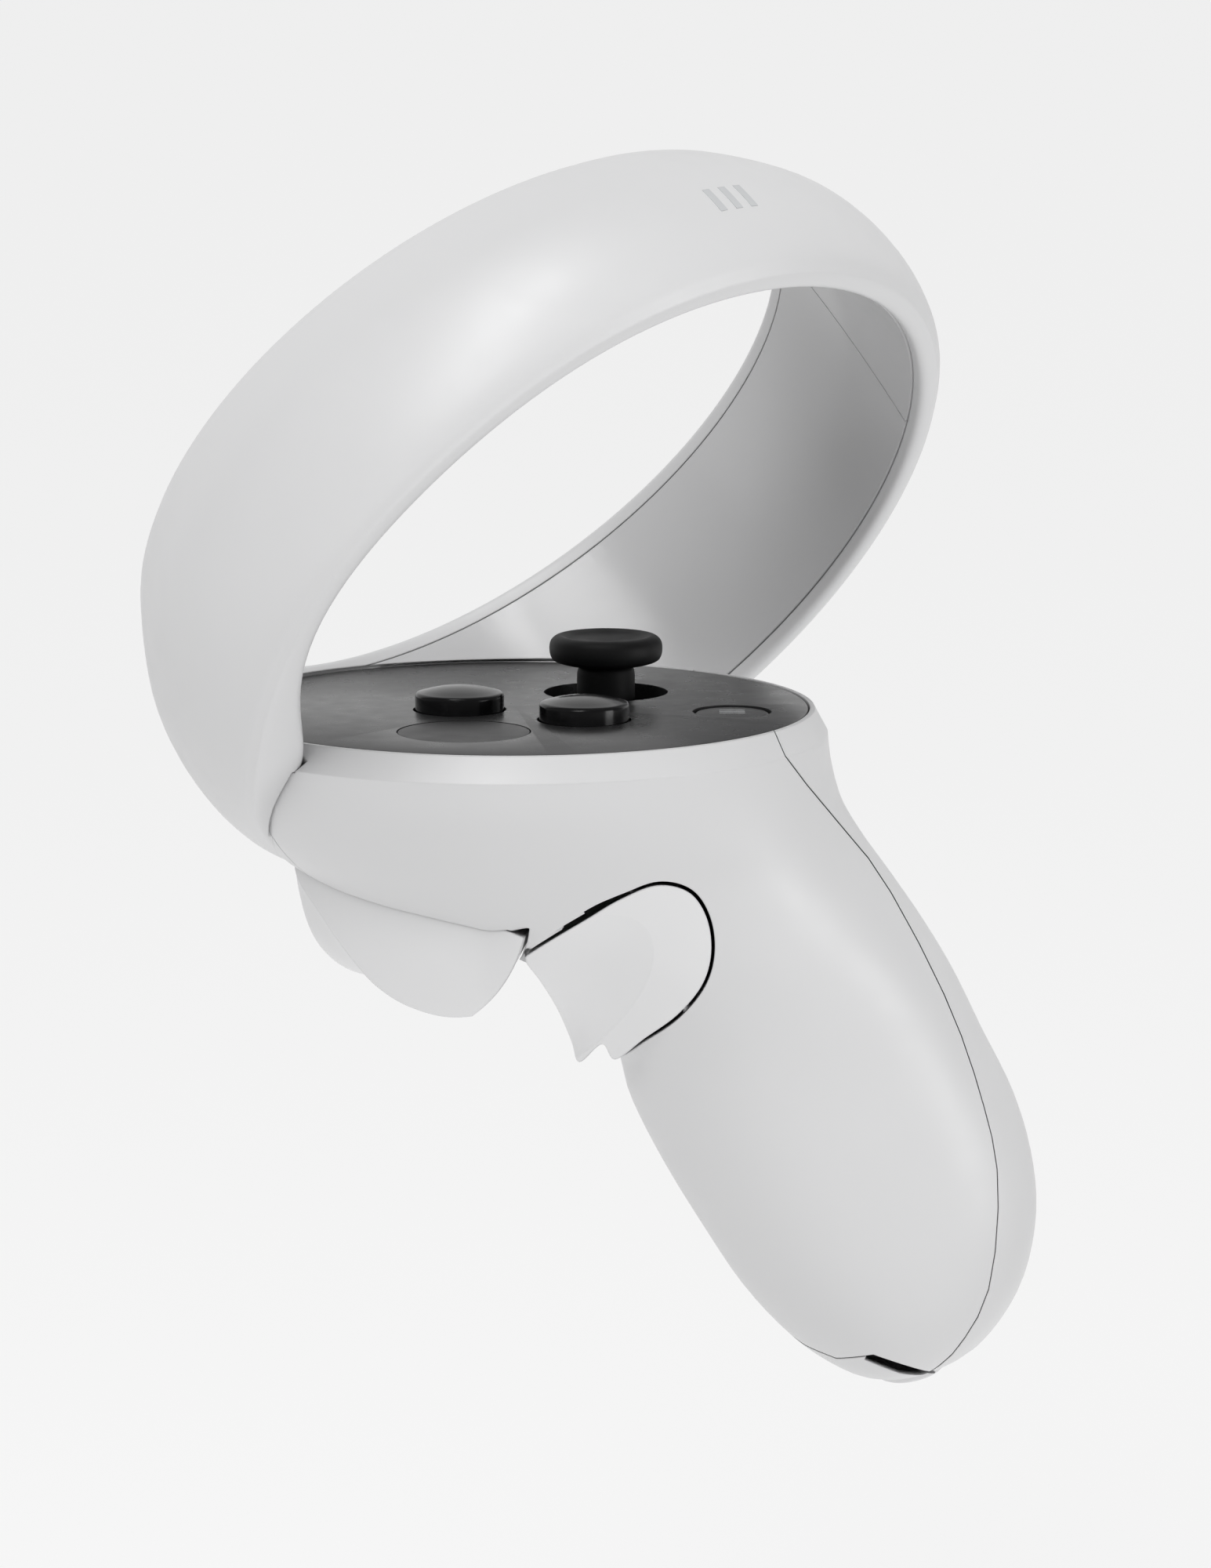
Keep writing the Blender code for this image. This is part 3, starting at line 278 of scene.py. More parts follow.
def rounded(profile, radius, steps=4):
    """The outline with its corners rounded, apart from those on the axis."""
    made = []
    count = len(profile)
    for k, point in enumerate(profile):
        here = Vector(point)
        before, after = Vector(profile[k - 1]) - here, Vector(profile[(k + 1) % count]) - here
        if here.x < 1e-6:
            made.append(tuple(here))
            continue
        reach = min(radius, before.length * 0.45, after.length * 0.45)
        start, end = here + before.normalized() * reach, here + after.normalized() * reach
        for i in range(steps + 1):
            t = i / steps
            made.append(tuple(start * (1 - t) ** 2 + here * 2 * t * (1 - t) + end * t * t))
    return made


def box(name, low, high, frame=None):
    """A box between two corners, in the frame's own axes when one is given."""
    frame = frame or Matrix.Identity(4)
    spans = [(low[k], high[k]) for k in range(3)]
    points = [frame @ Vector((x, y, z)) for x in spans[0] for y in spans[1] for z in spans[2]]
    faces = [(0, 1, 3, 2), (4, 6, 7, 5), (0, 4, 5, 1), (2, 3, 7, 6), (0, 2, 6, 4), (1, 5, 7, 3)]
    return add(name, points, faces)


def prism(name, outline, frame, low, high):
    """A closed outline in the frame's XY, extruded along its Z."""
    rings = [[frame @ Vector((x, y, z)) for x, y in outline] for z in (low, high)]
    return loft(name, rings)


def between(a, b, c, d, f):
    """Catmull-Rom value at a share f of the way from b to c."""
    slope, bend, twist = c - a, 2 * a - 5 * b + 4 * c - d, 3 * b - a - 3 * c + d
    return 0.5 * (2 * b + slope * f + bend * f * f + twist * f**3)


def curve_through(knots, count, closed=False):
    """Points of equal parameter spacing on a smooth curve through the knots (tuples of any size)."""
    size = len(knots)
    spans = size if closed else size - 1
    result = []
    total = count if closed else count - 1
    for k in range(count):
        t = k * spans / total
        i = min(int(t), spans - 1)
        f = t - i
        if closed:
            p = [knots[(i + d) % size] for d in (-1, 0, 1, 2)]
        else:
            p = [knots[max(0, min(size - 1, i + d))] for d in (-1, 0, 1, 2)]
        result.append(tuple(between(*row, f) for row in zip(*p)))
    return result


def duplicate(item, name):
    made = bpy.data.objects.new(name, item.data.copy())
    bpy.context.scene.collection.objects.link(made)
    made.hide_render = item.hide_render
    return made


def separate(item):
    """Splits an object into its loose bodies, largest first."""
    work = bmesh.new()
    work.from_mesh(item.data)
    left = set(work.verts)
    groups = []
    while left:
        stack = [next(iter(left))]
        left.discard(stack[0])
        group = [stack[0]]
        while stack:
            for edge in stack.pop().link_edges:
                for vert in edge.verts:
                    if vert in left:
                        left.discard(vert)
                        stack.append(vert)
                        group.append(vert)
        groups.append({vert.index for vert in group})
    work.free()
    groups.sort(key=len, reverse=True)
    made = []
    for group in groups:
        copy = duplicate(item, item.name)
        part = bmesh.new()
        part.from_mesh(copy.data)
        extra = [vert for vert in part.verts if vert.index not in group]
        bmesh.ops.delete(part, geom=extra, context="VERTS")
        part.to_mesh(copy.data)
        part.free()
        made.append(copy)
    bpy.data.objects.remove(item)
    return made


def keep_largest(item):
    """Drops the small offcuts that a cut leaves loose."""
    pieces = separate(duplicate(item, item.name + "_pieces"))
    item.data = pieces[0].data
    for piece in pieces:
        bpy.data.objects.remove(piece)


def remember(item):
    """The item's smooth surface, kept so that what is carved from it can take its shading back."""
    mesh = item.data
    mesh.calc_loop_triangles()
    points = [vert.co.copy() for vert in mesh.vertices]
    corners = [tuple(tri.vertices) for tri in mesh.loop_triangles]
    normals = [[mesh.corner_normals[k].vector.copy() for k in tri.loops] for tri in mesh.loop_triangles]
    return BVHTree.FromPolygons(points, corners), points, corners, normals


def surface_normal(surface, tri, point):
    """The remembered surface's normal at a point of one of its triangles."""
    points, corners, normals = surface[1:]
    weights = poly_3d_calc([points[k] for k in corners[tri]], point)
    return sum((normals[tri][k] * weights[k] for k in range(3)), Vector()).normalized()


def polish(item, *surfaces, reach=0.02):
    """Shades each face as the remembered surface it lies on; a cutter's surface counts from its inside."""
    mesh = item.data
    given = [Vector() for _ in mesh.loops]
    for face in mesh.polygons:
        for surface in surfaces:
            normal, tri, away = surface[0].find_nearest(face.center)[1:]
            if tri is None or away > reach * MM or abs(normal.dot(face.normal)) < 0.9:
                continue
            way = math.copysign(1.0, normal.dot(face.normal))
            for k in face.loop_indices:
                place = mesh.vertices[mesh.loops[k].vertex_index].co
                near, at, far = surface[0].find_nearest(place)[1:]
                if far > reach * MM or near.dot(face.normal) * way < 0.9:
                    at = tri
                given[k] = surface_normal(surface, at, place) * way
            break
    mesh.normals_split_custom_set(given)


def finish(item, look, body, slot, *nodes):
    """Shows a made piece with its material, riding on its body in place of CAD nodes."""
    item.hide_render = False
    item.data.materials.clear()
    item.data.materials.append(look)
    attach(item, body)
    if nodes:
        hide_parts(*nodes)
    return item


# ---------------------------------------------------------------- materials


class Nodes:
    """Short calls for building one material's node tree."""

    def __init__(self, name):
        self.material = bpy.data.materials.new(name)
        self.material.use_nodes = True
        self.tree = self.material.node_tree
        self.shader = self.tree.nodes["Principled BSDF"]

    def node(self, kind, settings=None, **inputs):
        """One node with its properties set and its inputs given as values or as other nodes' sockets."""
        made = self.tree.nodes.new(kind)
        for key, value in (settings or {}).items():
            setattr(made, key, value)
        for key, value in inputs.items():
            self.put(made.inputs[key.replace("_", " ")], value)
        return made

    def put(self, socket, value):
        if isinstance(value, bpy.types.NodeSocket):
            self.tree.links.new(value, socket)
        else:
            socket.default_value = value

    def noise(self, scale, detail=2.0, roughness=0.5, stretch=None):
        """Noise over the object's own metres; stretch scales its axes."""
        place = self.node("ShaderNodeTexCoord").outputs["Object"]
        if stretch:
            place = self.node("ShaderNodeMapping", Vector=place, Scale=stretch).outputs["Vector"]
        made = self.node("ShaderNodeTexNoise", Vector=place, Scale=scale, Detail=detail, Roughness=roughness)
        return made.outputs["Fac"]

    def ramp(self, fac, low, high):
        """Maps noise between two values or colours."""
        made = self.node("ShaderNodeValToRGB", Fac=fac)
        for element, value, place in zip(made.color_ramp.elements, (low, high), (0.3, 0.7)):
            colour = value if isinstance(value, tuple) else (value, value, value)
            element.color = (*colour, 1.0)
            element.position = place
        return made.outputs["Color"]

    def surface(self, colour, vary, rough_low, rough_high, grain, depth, patch=90.0, edge=0.0):
        """Base colour with a faint drift, uneven roughness, and moulded grain and its depth in millimetres."""
        low = tuple(c * (1 - vary) for c in colour)
        high = tuple(min(1.0, c * (1 + vary)) for c in colour)
        self.put(self.shader.inputs["Base Color"], self.ramp(self.noise(patch, 3.0), low, high))
        roughness = self.ramp(self.noise(patch * 4, 4.0), rough_low, rough_high)
        self.put(self.shader.inputs["Roughness"], roughness)
        height = self.noise(1 / (grain * MM), 2.0)
        bump = self.node("ShaderNodeBump", Strength=1.0, Distance=depth * MM, Height=height)
        if edge:
            bevel = self.node("ShaderNodeBevel", {"samples": 4}, Radius=edge * MM)
            self.put(bump.inputs["Normal"], bevel.outputs["Normal"])
        self.put(self.shader.inputs["Normal"], bump.outputs["Normal"])
        return self.material


def white_plastic():
    """Fine matte moulded plastic of the shells and the ring."""
    return Nodes("white_plastic").surface((0.685, 0.685, 0.69), 0.004, 0.36, 0.44, 0.16, 0.003, edge=0.22)


def liner_plastic():
    """Smoother light grey plastic inside the ring, with a soft sheen."""
    return Nodes("ring_liner_plastic").surface((0.60, 0.60, 0.605), 0.004, 0.17, 0.22, 0.3, 0.002, edge=0.15)


def key_plastic():
    """Whiter, smoother plastic of the trigger and the grip button."""
    return Nodes("key_plastic").surface((0.77, 0.77, 0.775), 0.006, 0.32, 0.40, 0.16, 0.003, edge=0.3)


def plate_plastic():
    """Dark satin control plate with a fine spark-eroded grain."""
    made = Nodes("plate_plastic")
    made.put(made.shader.inputs["Specular IOR Level"], 0.26)
    return made.surface((0.035, 0.035, 0.036), 0.05, 0.26, 0.32, 0.11, 0.003, edge=0.12)


def rest_plastic():
    """Thumb rest: darker, with a finer and rougher grain than the plate."""
    made = Nodes("thumb_rest_plastic")
    made.put(made.shader.inputs["Specular IOR Level"], 0.30)
    return made.surface((0.018, 0.018, 0.019), 0.06, 0.40, 0.46, 0.09, 0.005, edge=0.08)


def black_plastic():
    """Satin black of the buttons, with faint rub marks on top."""
    made = Nodes("black_plastic")
    made.put(made.shader.inputs["Specular IOR Level"], 0.26)
    return made.surface((0.006, 0.006, 0.0065), 0.2, 0.14, 0.22, 0.14, 0.001, patch=160.0, edge=0.12)


def black_rubber():
    """Soft-touch black of the thumbstick."""
    made = Nodes("black_rubber")
    made.put(made.shader.inputs["Specular IOR Level"], 0.22)
    return made.surface((0.006, 0.006, 0.0065), 0.15, 0.50, 0.62, 0.12, 0.004, edge=0.1)


def grey_plastic():
    """Plain moulded grey of the inner frame."""
    return Nodes("grey_plastic").surface((0.20, 0.20, 0.21), 0.05, 0.45, 0.58, 0.25, 0.006)


def steel():
    """Bright drawn steel with fine lengthwise marks."""
    made = Nodes("steel")
    made.put(made.shader.inputs["Metallic"], 1.0)
    return made.surface((0.60, 0.60, 0.61), 0.05, 0.22, 0.38, 0.06, 0.001)


def circuit_board():
    """Green solder mask with the faint relief of its tracks."""
    made = Nodes("circuit_board")
    made.put(made.shader.inputs["Coat Weight"], 0.4)
    return made.surface((0.022, 0.11, 0.055), 0.25, 0.28, 0.42, 0.9, 0.01, patch=700.0)


def dome_rubber():
    """Milky silicone of the return domes."""
    made = Nodes("dome_rubber")
    made.put(made.shader.inputs["Subsurface Weight"], 0.2)
    made.put(made.shader.inputs["Subsurface Scale"], 0.5 * MM)
    return made.surface((0.45, 0.45, 0.46), 0.04, 0.40, 0.55, 0.2, 0.003)


def cell_sleeve():
    """Printed film of the cell, without any print."""
    made = Nodes("cell_sleeve")
    made.put(made.shader.inputs["Coat Weight"], 0.5)
    return made.surface((0.10, 0.11, 0.13), 0.12, 0.22, 0.34, 0.5, 0.002)


def mark_paint():
    """Light grey pad print of the plain marks."""
    return Nodes("mark_paint").surface((0.55, 0.56, 0.57), 0.04, 0.40, 0.52, 0.1, 0.002)


def floor_paint():
    """Pale seamless studio floor, lit from within like a light table so that it stays even."""
    made = Nodes("floor_paint")
    made.put(made.shader.inputs["Emission Color"], (1.0, 1.0, 1.0, 1.0))
    made.put(made.shader.inputs["Emission Strength"], FLOOR_GLOW)
    made.put(made.shader.inputs["Specular IOR Level"], 0.0)
    return made.surface((0.20, 0.20, 0.20), 0.004, 0.75, 0.85, 2.0, 0.01, patch=3.0)


# ---------------------------------------------------------------- body and ring surfaces


BODY_KNOTS = (
    (-29.5, 0.0, 29.5, 0.0, 29.5, 29.5, 2.0),
    (-30.9, -2.4, 30.8, -2.4, 30.9, 30.9, 2.0),
    (-29.6, -7.0, 31.2, -5.6, 29.6, 29.6, 2.0),
    (-25.6, -12.0, 32.3, -9.4, 27.0, 27.0, 2.05),
    (-19.0, -17.0, 34.4, -13.0, 23.6, 23.6, 2.1),
    (-8.5, -22.0, 37.3, -17.0, 20.3, 20.3, 2.15),
    (3.0, -27.0, 40.6, -21.8, 17.8, 17.8, 2.2),
    (9.3, -32.5, 43.6, -26.8, 16.2, 16.2, 2.2),
    (11.4, -39.0, 46.5, -32.7, 15.2, 15.2, 2.2),
    (14.5, -45.3, 49.5, -38.7, 14.8, 14.8, 2.2),
    (18.5, -52.0, 51.4, -44.8, 14.4, 14.4, 2.2),
    (22.8, -58.5, 52.0, -51.2, 13.7, 13.7, 2.15),
    (27.8, -63.8, 50.7, -57.8, 12.0, 12.0, 2.1),
    (32.6, -67.0, 47.4, -63.3, 8.8, 8.8, 2.0),
    (36.2, -68.1, 43.2, -66.4, 4.2, 4.2, 2.0),
)


def body_section(knot, grow, steps):
    """One ring of the body's outer surface, grown or shrunk square to itself."""
    fx, fz, bx, bz, near, far, power = knot
    front, back = Vector((fx, 0, fz)), Vector((bx, 0, bz))
    centre = (front + back) / 2
    half = (back - front) / 2
    along = half.normalized() * (half.length + grow)
    ring = []
    for i in range(steps):
        angle = 2 * math.pi * i / steps
        c, s = math.cos(angle), math.sin(angle)
        u = math.copysign(abs(c) ** (2 / power), c)
        w = math.copysign(abs(s) ** (2 / power), s)
        width = (far if w > 0 else near) + grow
        ring.append(centre + along * u + Vector((0, width * w, 0)))
    return ring


def body_rows(count):
    """Section knots from the rim down: a straight chamfer with a crisp lower edge, then smooth to the tip."""
    top, edge = BODY_KNOTS[0], BODY_KNOTS[1]
    chamfer = [tuple(a + (b - a) * t for a, b in zip(top, edge)) for t in (0.0, 0.5, 0.94)]
    return chamfer + curve_through(BODY_KNOTS[1:], count)


def body_solid(name, grow, sections=BODY_ROWS, top=0.0, cap=1.2, steps=HEAD_STEPS):
    """The closed body below the control plate, from its rim to the rounded end of the handle."""
    rings = [body_section(knot, grow, steps) for knot in body_rows(sections)]
    rings[0] = [Vector((p.x, p.y, top)) for p in rings[0]]
    last = rings[-1]
    centre = sum(last, Vector()) / len(last)
    down = Vector(HANDLE_DIR).normalized()
    for share in (0.3, 0.55, 0.75, 0.9, 0.98):
        rings.append([centre + (p - centre) * math.sqrt(1 - share * share) + down * cap * share for p in last])
    return loft(name, rings, 24)


def side_view():
    """Axes of the inner side's view: X as it is, Y down and Z into the body, square to each other."""
    lean = math.radians(VIEW_LEAN)
    return frame_at((0, 0, 0), (0, math.cos(lean), -math.sin(lean)), (1, 0, 0))


def side_prism(name, outline, middle, grow, low, high):
    """A block with an outline of x and height in the side view, grown away from a middle point."""
    points = []
    for x, height in outline:
        out = (Vector((x, height)) - Vector(middle)).normalized() * grow
        points.append((x + out.x, -height - out.y))
    return prism(name, points, side_view(), low, high)


def slanted_frame(origin, tilt, azimuth):
    """Axes with Z leaning by tilt towards the azimuth and X running downhill that way."""
    tilt, azimuth = math.radians(tilt), math.radians(azimuth)
    axis = (math.sin(tilt) * math.cos(azimuth), math.sin(tilt) * math.sin(azimuth), math.cos(tilt))
    low = (math.cos(tilt) * math.cos(azimuth), math.cos(tilt) * math.sin(azimuth), -math.sin(tilt))
    return frame_at(origin, axis, low)


def ring_frame():
    """The ring's own axes: Z is its axis, X runs to the lowest point of its lower rim."""
    return slanted_frame(RING_CENTRE, RING_TILT, RING_AZIMUTH)


def crown_radius(height):
    """The ring's outer radius at a height, on a smooth curve through the crown's knots."""
    share = min(1.0, max(0.0, height / RING_HEIGHT))
    k = max(i for i in range(len(RING_CROWN) - 1) if RING_CROWN[i][0] <= share)

    def slope(i):
        low, high = RING_CROWN[max(0, i - 1)], RING_CROWN[min(len(RING_CROWN) - 1, i + 1)]
        return (high[1] - low[1]) / (high[0] - low[0])

    (x0, y0), (x1, y1) = RING_CROWN[k], RING_CROWN[k + 1]
    span = x1 - x0
    t = (share - x0) / span
    rise = y0 * (1 + 2 * t) * (1 - t) ** 2 + y1 * t * t * (3 - 2 * t)
    return rise + span * (slope(k) * t * (1 - t) ** 2 - slope(k + 1) * t * t * (1 - t))


def inner_radius(height):
    """The ring's inner radius, which narrows towards its upper rim."""
    return RING_INNER_LOW + (RING_INNER_HIGH - RING_INNER_LOW) * height / RING_HEIGHT


def swell(angle, place, width, depth):
    """A smooth bump's height at an angle in radians; its place and width round the ring are in degrees."""
    away = abs((math.degrees(angle) - place + 180) % 360 - 180) / width
    return depth * math.exp(-away * away)


def ring_point(radius, height, angle):
    """A point of the band; it is taller at the front, and its lower rim spreads where it meets the head."""
    c, s = math.cos(angle), math.sin(angle)
    scale = 1 + RING_HEIGHT_SWING[0] * c + RING_HEIGHT_SWING[1] * s
    low = 1 - height / RING_HEIGHT
    drop = low * sum(swell(angle, *bump) for bump in RING_FLARE)
    inside = min(1.0, max(0.0, inner_radius(height) + 2.2 - radius))
    radius -= inside * inside * (3 - 2 * inside) * low * swell(angle, *RING_ROOT)
    return RING_FRAME @ Vector((radius * c, radius * s, height * scale - drop))


RING_FRAME = ring_frame()


def ring_band(name, profile, steps=RING_STEPS, smooth=30.0):
    """A closed (radius, height) outline taken once round the ring."""
    points, faces = [], []
    count = len(profile)
    for i in range(steps):
        points += [ring_point(r, h, 2 * math.pi * i / steps) for r, h in profile]
        j = (i + 1) % steps
        for k in range(count):
            m = (k + 1) % count
            faces.append((i * count + k, j * count + k, j * count + m, i * count + m))
    return add(name, points, faces, smooth)


def ring_profile(wall):
    """Outline of the ring's outer shell: crowned outside, with rounded lips that wrap the two rims."""
    high = RING_HEIGHT
    low_in, high_in = inner_radius(0.0), inner_radius(high)
    outside = [(low_in, 1.5), (low_in, 0.6), (low_in + 0.35, 0.15), (low_in + 1.0, 0.0), (low_in + 1.9, 0.12)]
    outside += [(40.4, 0.5)] + [(crown_radius(h), h) for h in (1.3, 3.0, 6.0, 10.0, 14.0, 17.5, 21.2)]
    outside += [(36.95, high - 0.5), (36.5, high - 0.12), (high_in + 0.7, high), (high_in + 0.2, high - 0.2)]
    outside += [(high_in + 0.05, high - 0.6), (inner_radius(high - 1.5), high - 1.5)]
    inside = [(36.6, high - 1.5)] + [(crown_radius(h) - wall, h) for h in (19.6, 16.0, 12.0, 8.0, 4.0)]
    return curve_through(outside, 64) + inside + [(39.3, 1.5)]


def ring_fill(name, grow):
    """The band's whole section as one solid, without its hollow."""
    high = RING_HEIGHT + grow
    heights = [1.3 + (21.2 - 1.3) * k / 16 for k in range(17)]
    profile = [(inner_radius(0) - grow, -grow), (40.4 + grow, -grow + 0.2)]
    profile += [(crown_radius(h) + grow, h) for h in heights]
    profile += [(36.95 + grow, high), (RING_INNER_HIGH - grow, high)]
    return ring_band(name, profile)


def seam_side(name, offset, side):
    """A slab that holds everything on one side of the plane where the ring's piece ends."""
    low, high = (offset, FAR) if side > 0 else (-FAR, offset)
    frame = slanted_frame(SEAM_POINT, SEAM_TILT, SEAM_AZIMUTH)
    return box(name, (-FAR, -FAR, low), (FAR, FAR, high), frame)


def handle_frame():
    """Axes along the handle: Z runs down the cell's centre line, X towards the front, Y outwards."""
    return frame_at(HANDLE_POINT, HANDLE_DIR, (-0.917, 0, -0.40))


def cover_region(name, grow):
    """Where the battery cover is: the outer face of the handle, down to its tip."""
    frame = handle_frame()
    return box(name, (-40, COVER_Y - 1.2 - grow, -2.0 - grow), (40, 40, 70), frame)


# ---------------------------------------------------------------- shells and ring


def shell_wall():
    """The whole wall of head and handle, open under the control plate, and its outer surface."""
    wall = body_solid("shell_wall", 0.0)
    outer = remember(wall)
    hollow = body_solid("hollow", -SHELL_WALL, 40, top=2.0, cap=0.6, steps=60)
    seat = rod("plate_seat", (0, 0, 0), (0, 0, 1), PLATE_R + 0.14, -PLATE_THICK - PLATE_GAP, 3.0, steps=144)
    return cut(wall, hollow, seat), outer


def make_ring():
    """Band and nose in one moulding: the nose closes the front of the head below the plate."""
    band = ring_band("tracking_ring", ring_profile(RING_WALL), smooth=50)
    band_surface = remember(band)
    deep = box("deep", (-FAR, -FAR, -FAR), (FAR, FAR, RIM_DEPTH))
    buried = clip(body_solid("buried", 0.3), seam_side("buried_side", 0.0, -1), deep)
    cut(band, buried)
    nose = clip(body_solid("nose", 0.0), seam_side("nose_side", 0.0, 1))
    join(band, nose)
    hollow = body_solid("inside", -SHELL_WALL, 40, top=2.0, cap=0.6, steps=60)
    seat = rod("plate_clear", (0, 0, 0), (0, 0, 1), PLATE_R + 0.14, -PLATE_THICK - PLATE_GAP, 0.3, steps=144)
    cut(band, hollow, seat)
    keep_largest(band)
    return band, band_surface


def make_liner():
    """The ring's inside wall, in two pieces that meet on a slanted joint."""
    low, high = 1.62, RING_HEIGHT - 1.62
    rows = [low + (high - low) * k / 8 for k in range(9)]
    profile = [(inner_radius(h), h) for h in rows] + [(inner_radius(h) + LINER_WALL, h) for h in (high, low)]
    whole = ring_band("liner", profile)
    surface = remember(whole)
    turn = math.radians(LINER_JOINT[0])
    radial = Vector((math.cos(turn), math.sin(turn), 0))
    tangent = Vector((-math.sin(turn), math.cos(turn), 0))
    lean = math.radians(LINER_JOINT[1])
    middle = radial * inner_radius(RING_HEIGHT / 2) + Vector((0, 0, RING_HEIGHT / 2))
    slope = tangent * math.cos(lean) + Vector((0, 0, 1)) * math.sin(lean)
    across = RING_FRAME @ frame_at(middle, slope, radial)
    slab = box("liner_joint", (-6, -40, -0.07), (6, 40, 0.07), across)
    cut(whole, body_solid("liner_clear", 0.2, top=0.3), slab)
    pieces = separate(whole)
    for name, piece in zip(("inner_liner", "inner_liner_end"), pieces):
        piece.name = name
        polish(piece, surface)
    return pieces[:2]


BACK_SEAM = (
    (24.4, 3.0), (25.3, -3.9), (30.9, -10.8), (36.0, -17.0), (42.4, -29.2), (45.7, -38.5),
    (47.3, -46.5), (46.6, -56.9), (43.8, -63.0), (41.1, -65.9),
)


FOOT_SEAM = ((35.3, -63.8), (31.8, -64.5), (28.8, -63.5), (20.0, -58.0))


def inner_region(name, grow):
    """Where the inner shell is: inside its seam, and no further outwards than SEAM_Y."""
    outline = curve_through(BACK_SEAM, 24) + list(FOOT_SEAM) + [(-60.0, -58.0), (-60.0, 3.0)]
    region = side_prism(name, outline, (15.0, -30.0), grow, -50.0, 50.0)
    return clip(region, box(name + "_side", (-FAR, -FAR, -FAR), (FAR, SEAM_Y + grow, FAR)))


def make_shells(wall):
    """Inner shell, outer shell and battery cover, parted by narrow gaps."""
    rest = clip(wall, seam_side("behind", -SEAM_GAP, -1))
    rim_top = box("rim_top", (-FAR, -FAR, RIM_DEPTH - SEAM_GAP), (FAR, FAR, FAR))
    cut(rest, clip(ring_fill("rim_clear", SEAM_GAP), rim_top))
    medial = clip(duplicate(rest, "inner_side_shell"), inner_region("m_clip", 0.0))
    others = cut(duplicate(rest, "outer_side_shell"), inner_region("o_cut", SEAM_GAP))
    cover = clip(duplicate(others, "battery_door"), cover_region("c_clip", 0.0))
    lateral = cut(others, cover_region("c_cut", SEAM_GAP))
    bpy.data.objects.remove(rest)
    return medial, lateral, cover


TRIGGER_NEAR = (
    (-19.8, -11.8), (-21.2, -15.0), (-18.4, -19.3), (-15.7, -22.9), (-13.2, -25.6),
    (-10.0, -27.5), (-6.0, -28.4), (-1.6, -27.4), (1.6, -24.8), (2.6, -21.8),
    (2.2, -19.4), (-6.0, -16.9), (-13.5, -13.7),
)


TRIGGER_MIDDLE = (
    (-19.9, -12.0), (-21.4, -15.4), (-19.4, -19.8), (-16.9, -23.6), (-14.0, -26.2),
    (-10.4, -27.4), (-6.0, -28.0), (-1.8, -27.2), (1.6, -24.7), (2.6, -21.8),
    (2.2, -19.4), (-6.0, -16.9), (-13.5, -13.7),
)


TRIGGER_FAR = (
    (-20.2, -13.0), (-22.0, -16.2), (-21.7, -20.6), (-20.2, -24.8), (-16.9, -27.8),
    (-12.0, -28.6), (-6.6, -28.6), (-1.8, -27.4), (1.6, -24.7), (2.6, -21.8),
    (2.2, -19.4), (-6.0, -16.9), (-13.5, -13.7),
)


TRIGGER_STATIONS = (
    (-22.0, TRIGGER_NEAR),
    (-9.0, TRIGGER_NEAR),
    (-1.0, TRIGGER_MIDDLE),
    (6.0, TRIGGER_FAR),
    (16.0, TRIGGER_FAR),
)


TRIGGER_PLAN = (
    (-23.0, -4.0), (-20.4, -8.6), (-15.5, -13.2), (-9.5, -16.8), (-3.0, -18.6), (5.0, -19.0),
    (5.0, 13.0), (-6.0, 13.2), (-14.0, 12.0), (-19.5, 8.5), (-22.6, 3.0),
)


TRIGGER_LAYERS = ((-9.0, 1.0), (-19.0, 0.98), (-24.0, 0.9), (-27.0, 0.8), (-29.5, 0.66))


def trigger_forms(name, grow):
    """The trigger's two crossing forms: its side outline swept across, and its plan swept down."""
    count = 96
    rows = curve_through([(y, *sum(knots, ())) for y, knots in TRIGGER_STATIONS], 33)
    rings = []
    for row in rows:
        knots = [(row[1 + 2 * k], row[2 + 2 * k]) for k in range(len(TRIGGER_NEAR))]
        outline = curve_through(knots, count, closed=True)
        middle = Vector((sum(p[0] for p in outline) / count, sum(p[1] for p in outline) / count))
        ring = []
        for px, pz in outline:
            out = (Vector((px, pz)) - middle).normalized() * grow
            ring.append(Vector((px + out.x, row[0], pz + out.y)))
        rings.append(ring)
    plan = curve_through(TRIGGER_PLAN, count, closed=True)
    middle = Vector((-8.0, -3.0))
    layers = []
    for z, share in curve_through(TRIGGER_LAYERS, 25):
        layer = []
        for px, py in plan:
            point = Vector((px * 0.5 * (1 + share), py * share))
            point += (point - middle).normalized() * grow
            layer.append(Vector((point.x, point.y, z)))
        layers.append(layer)
    return loft(name, rings, 40), loft(name + "_plan", layers, 40)


def trigger_reach(name, grow):
    """The room in front of the grip button, turned about the trigger's pin."""
    px, pz = TRIGGER_PIN
    low, high = (radius + grow for radius in TRIGGER_REAR)
    profile = [(0, -24.0), (low - 0.5, -24.0), (low, -18.0), (high, 3.0), (high + 0.6, 24.0), (0, 24.0)]
    return revolve(name, profile, frame_at((px, 0, pz), (0, 1, 0), (1, 0, 0)), 180)


def swept(name, item, point, axis, angles):
    """Copies of an object turned about an axis, as separate cutters."""
    made = []
    place = Matrix.Translation(Vector(point) * MM)
    for k, angle in enumerate(angles):
        copy = duplicate(item, f"{name}_{k}")
        turn = Matrix.Rotation(math.radians(angle), 4, Vector(axis))
        copy.data.transform(place @ turn @ place.inverted())
        made.append(copy)
    return made


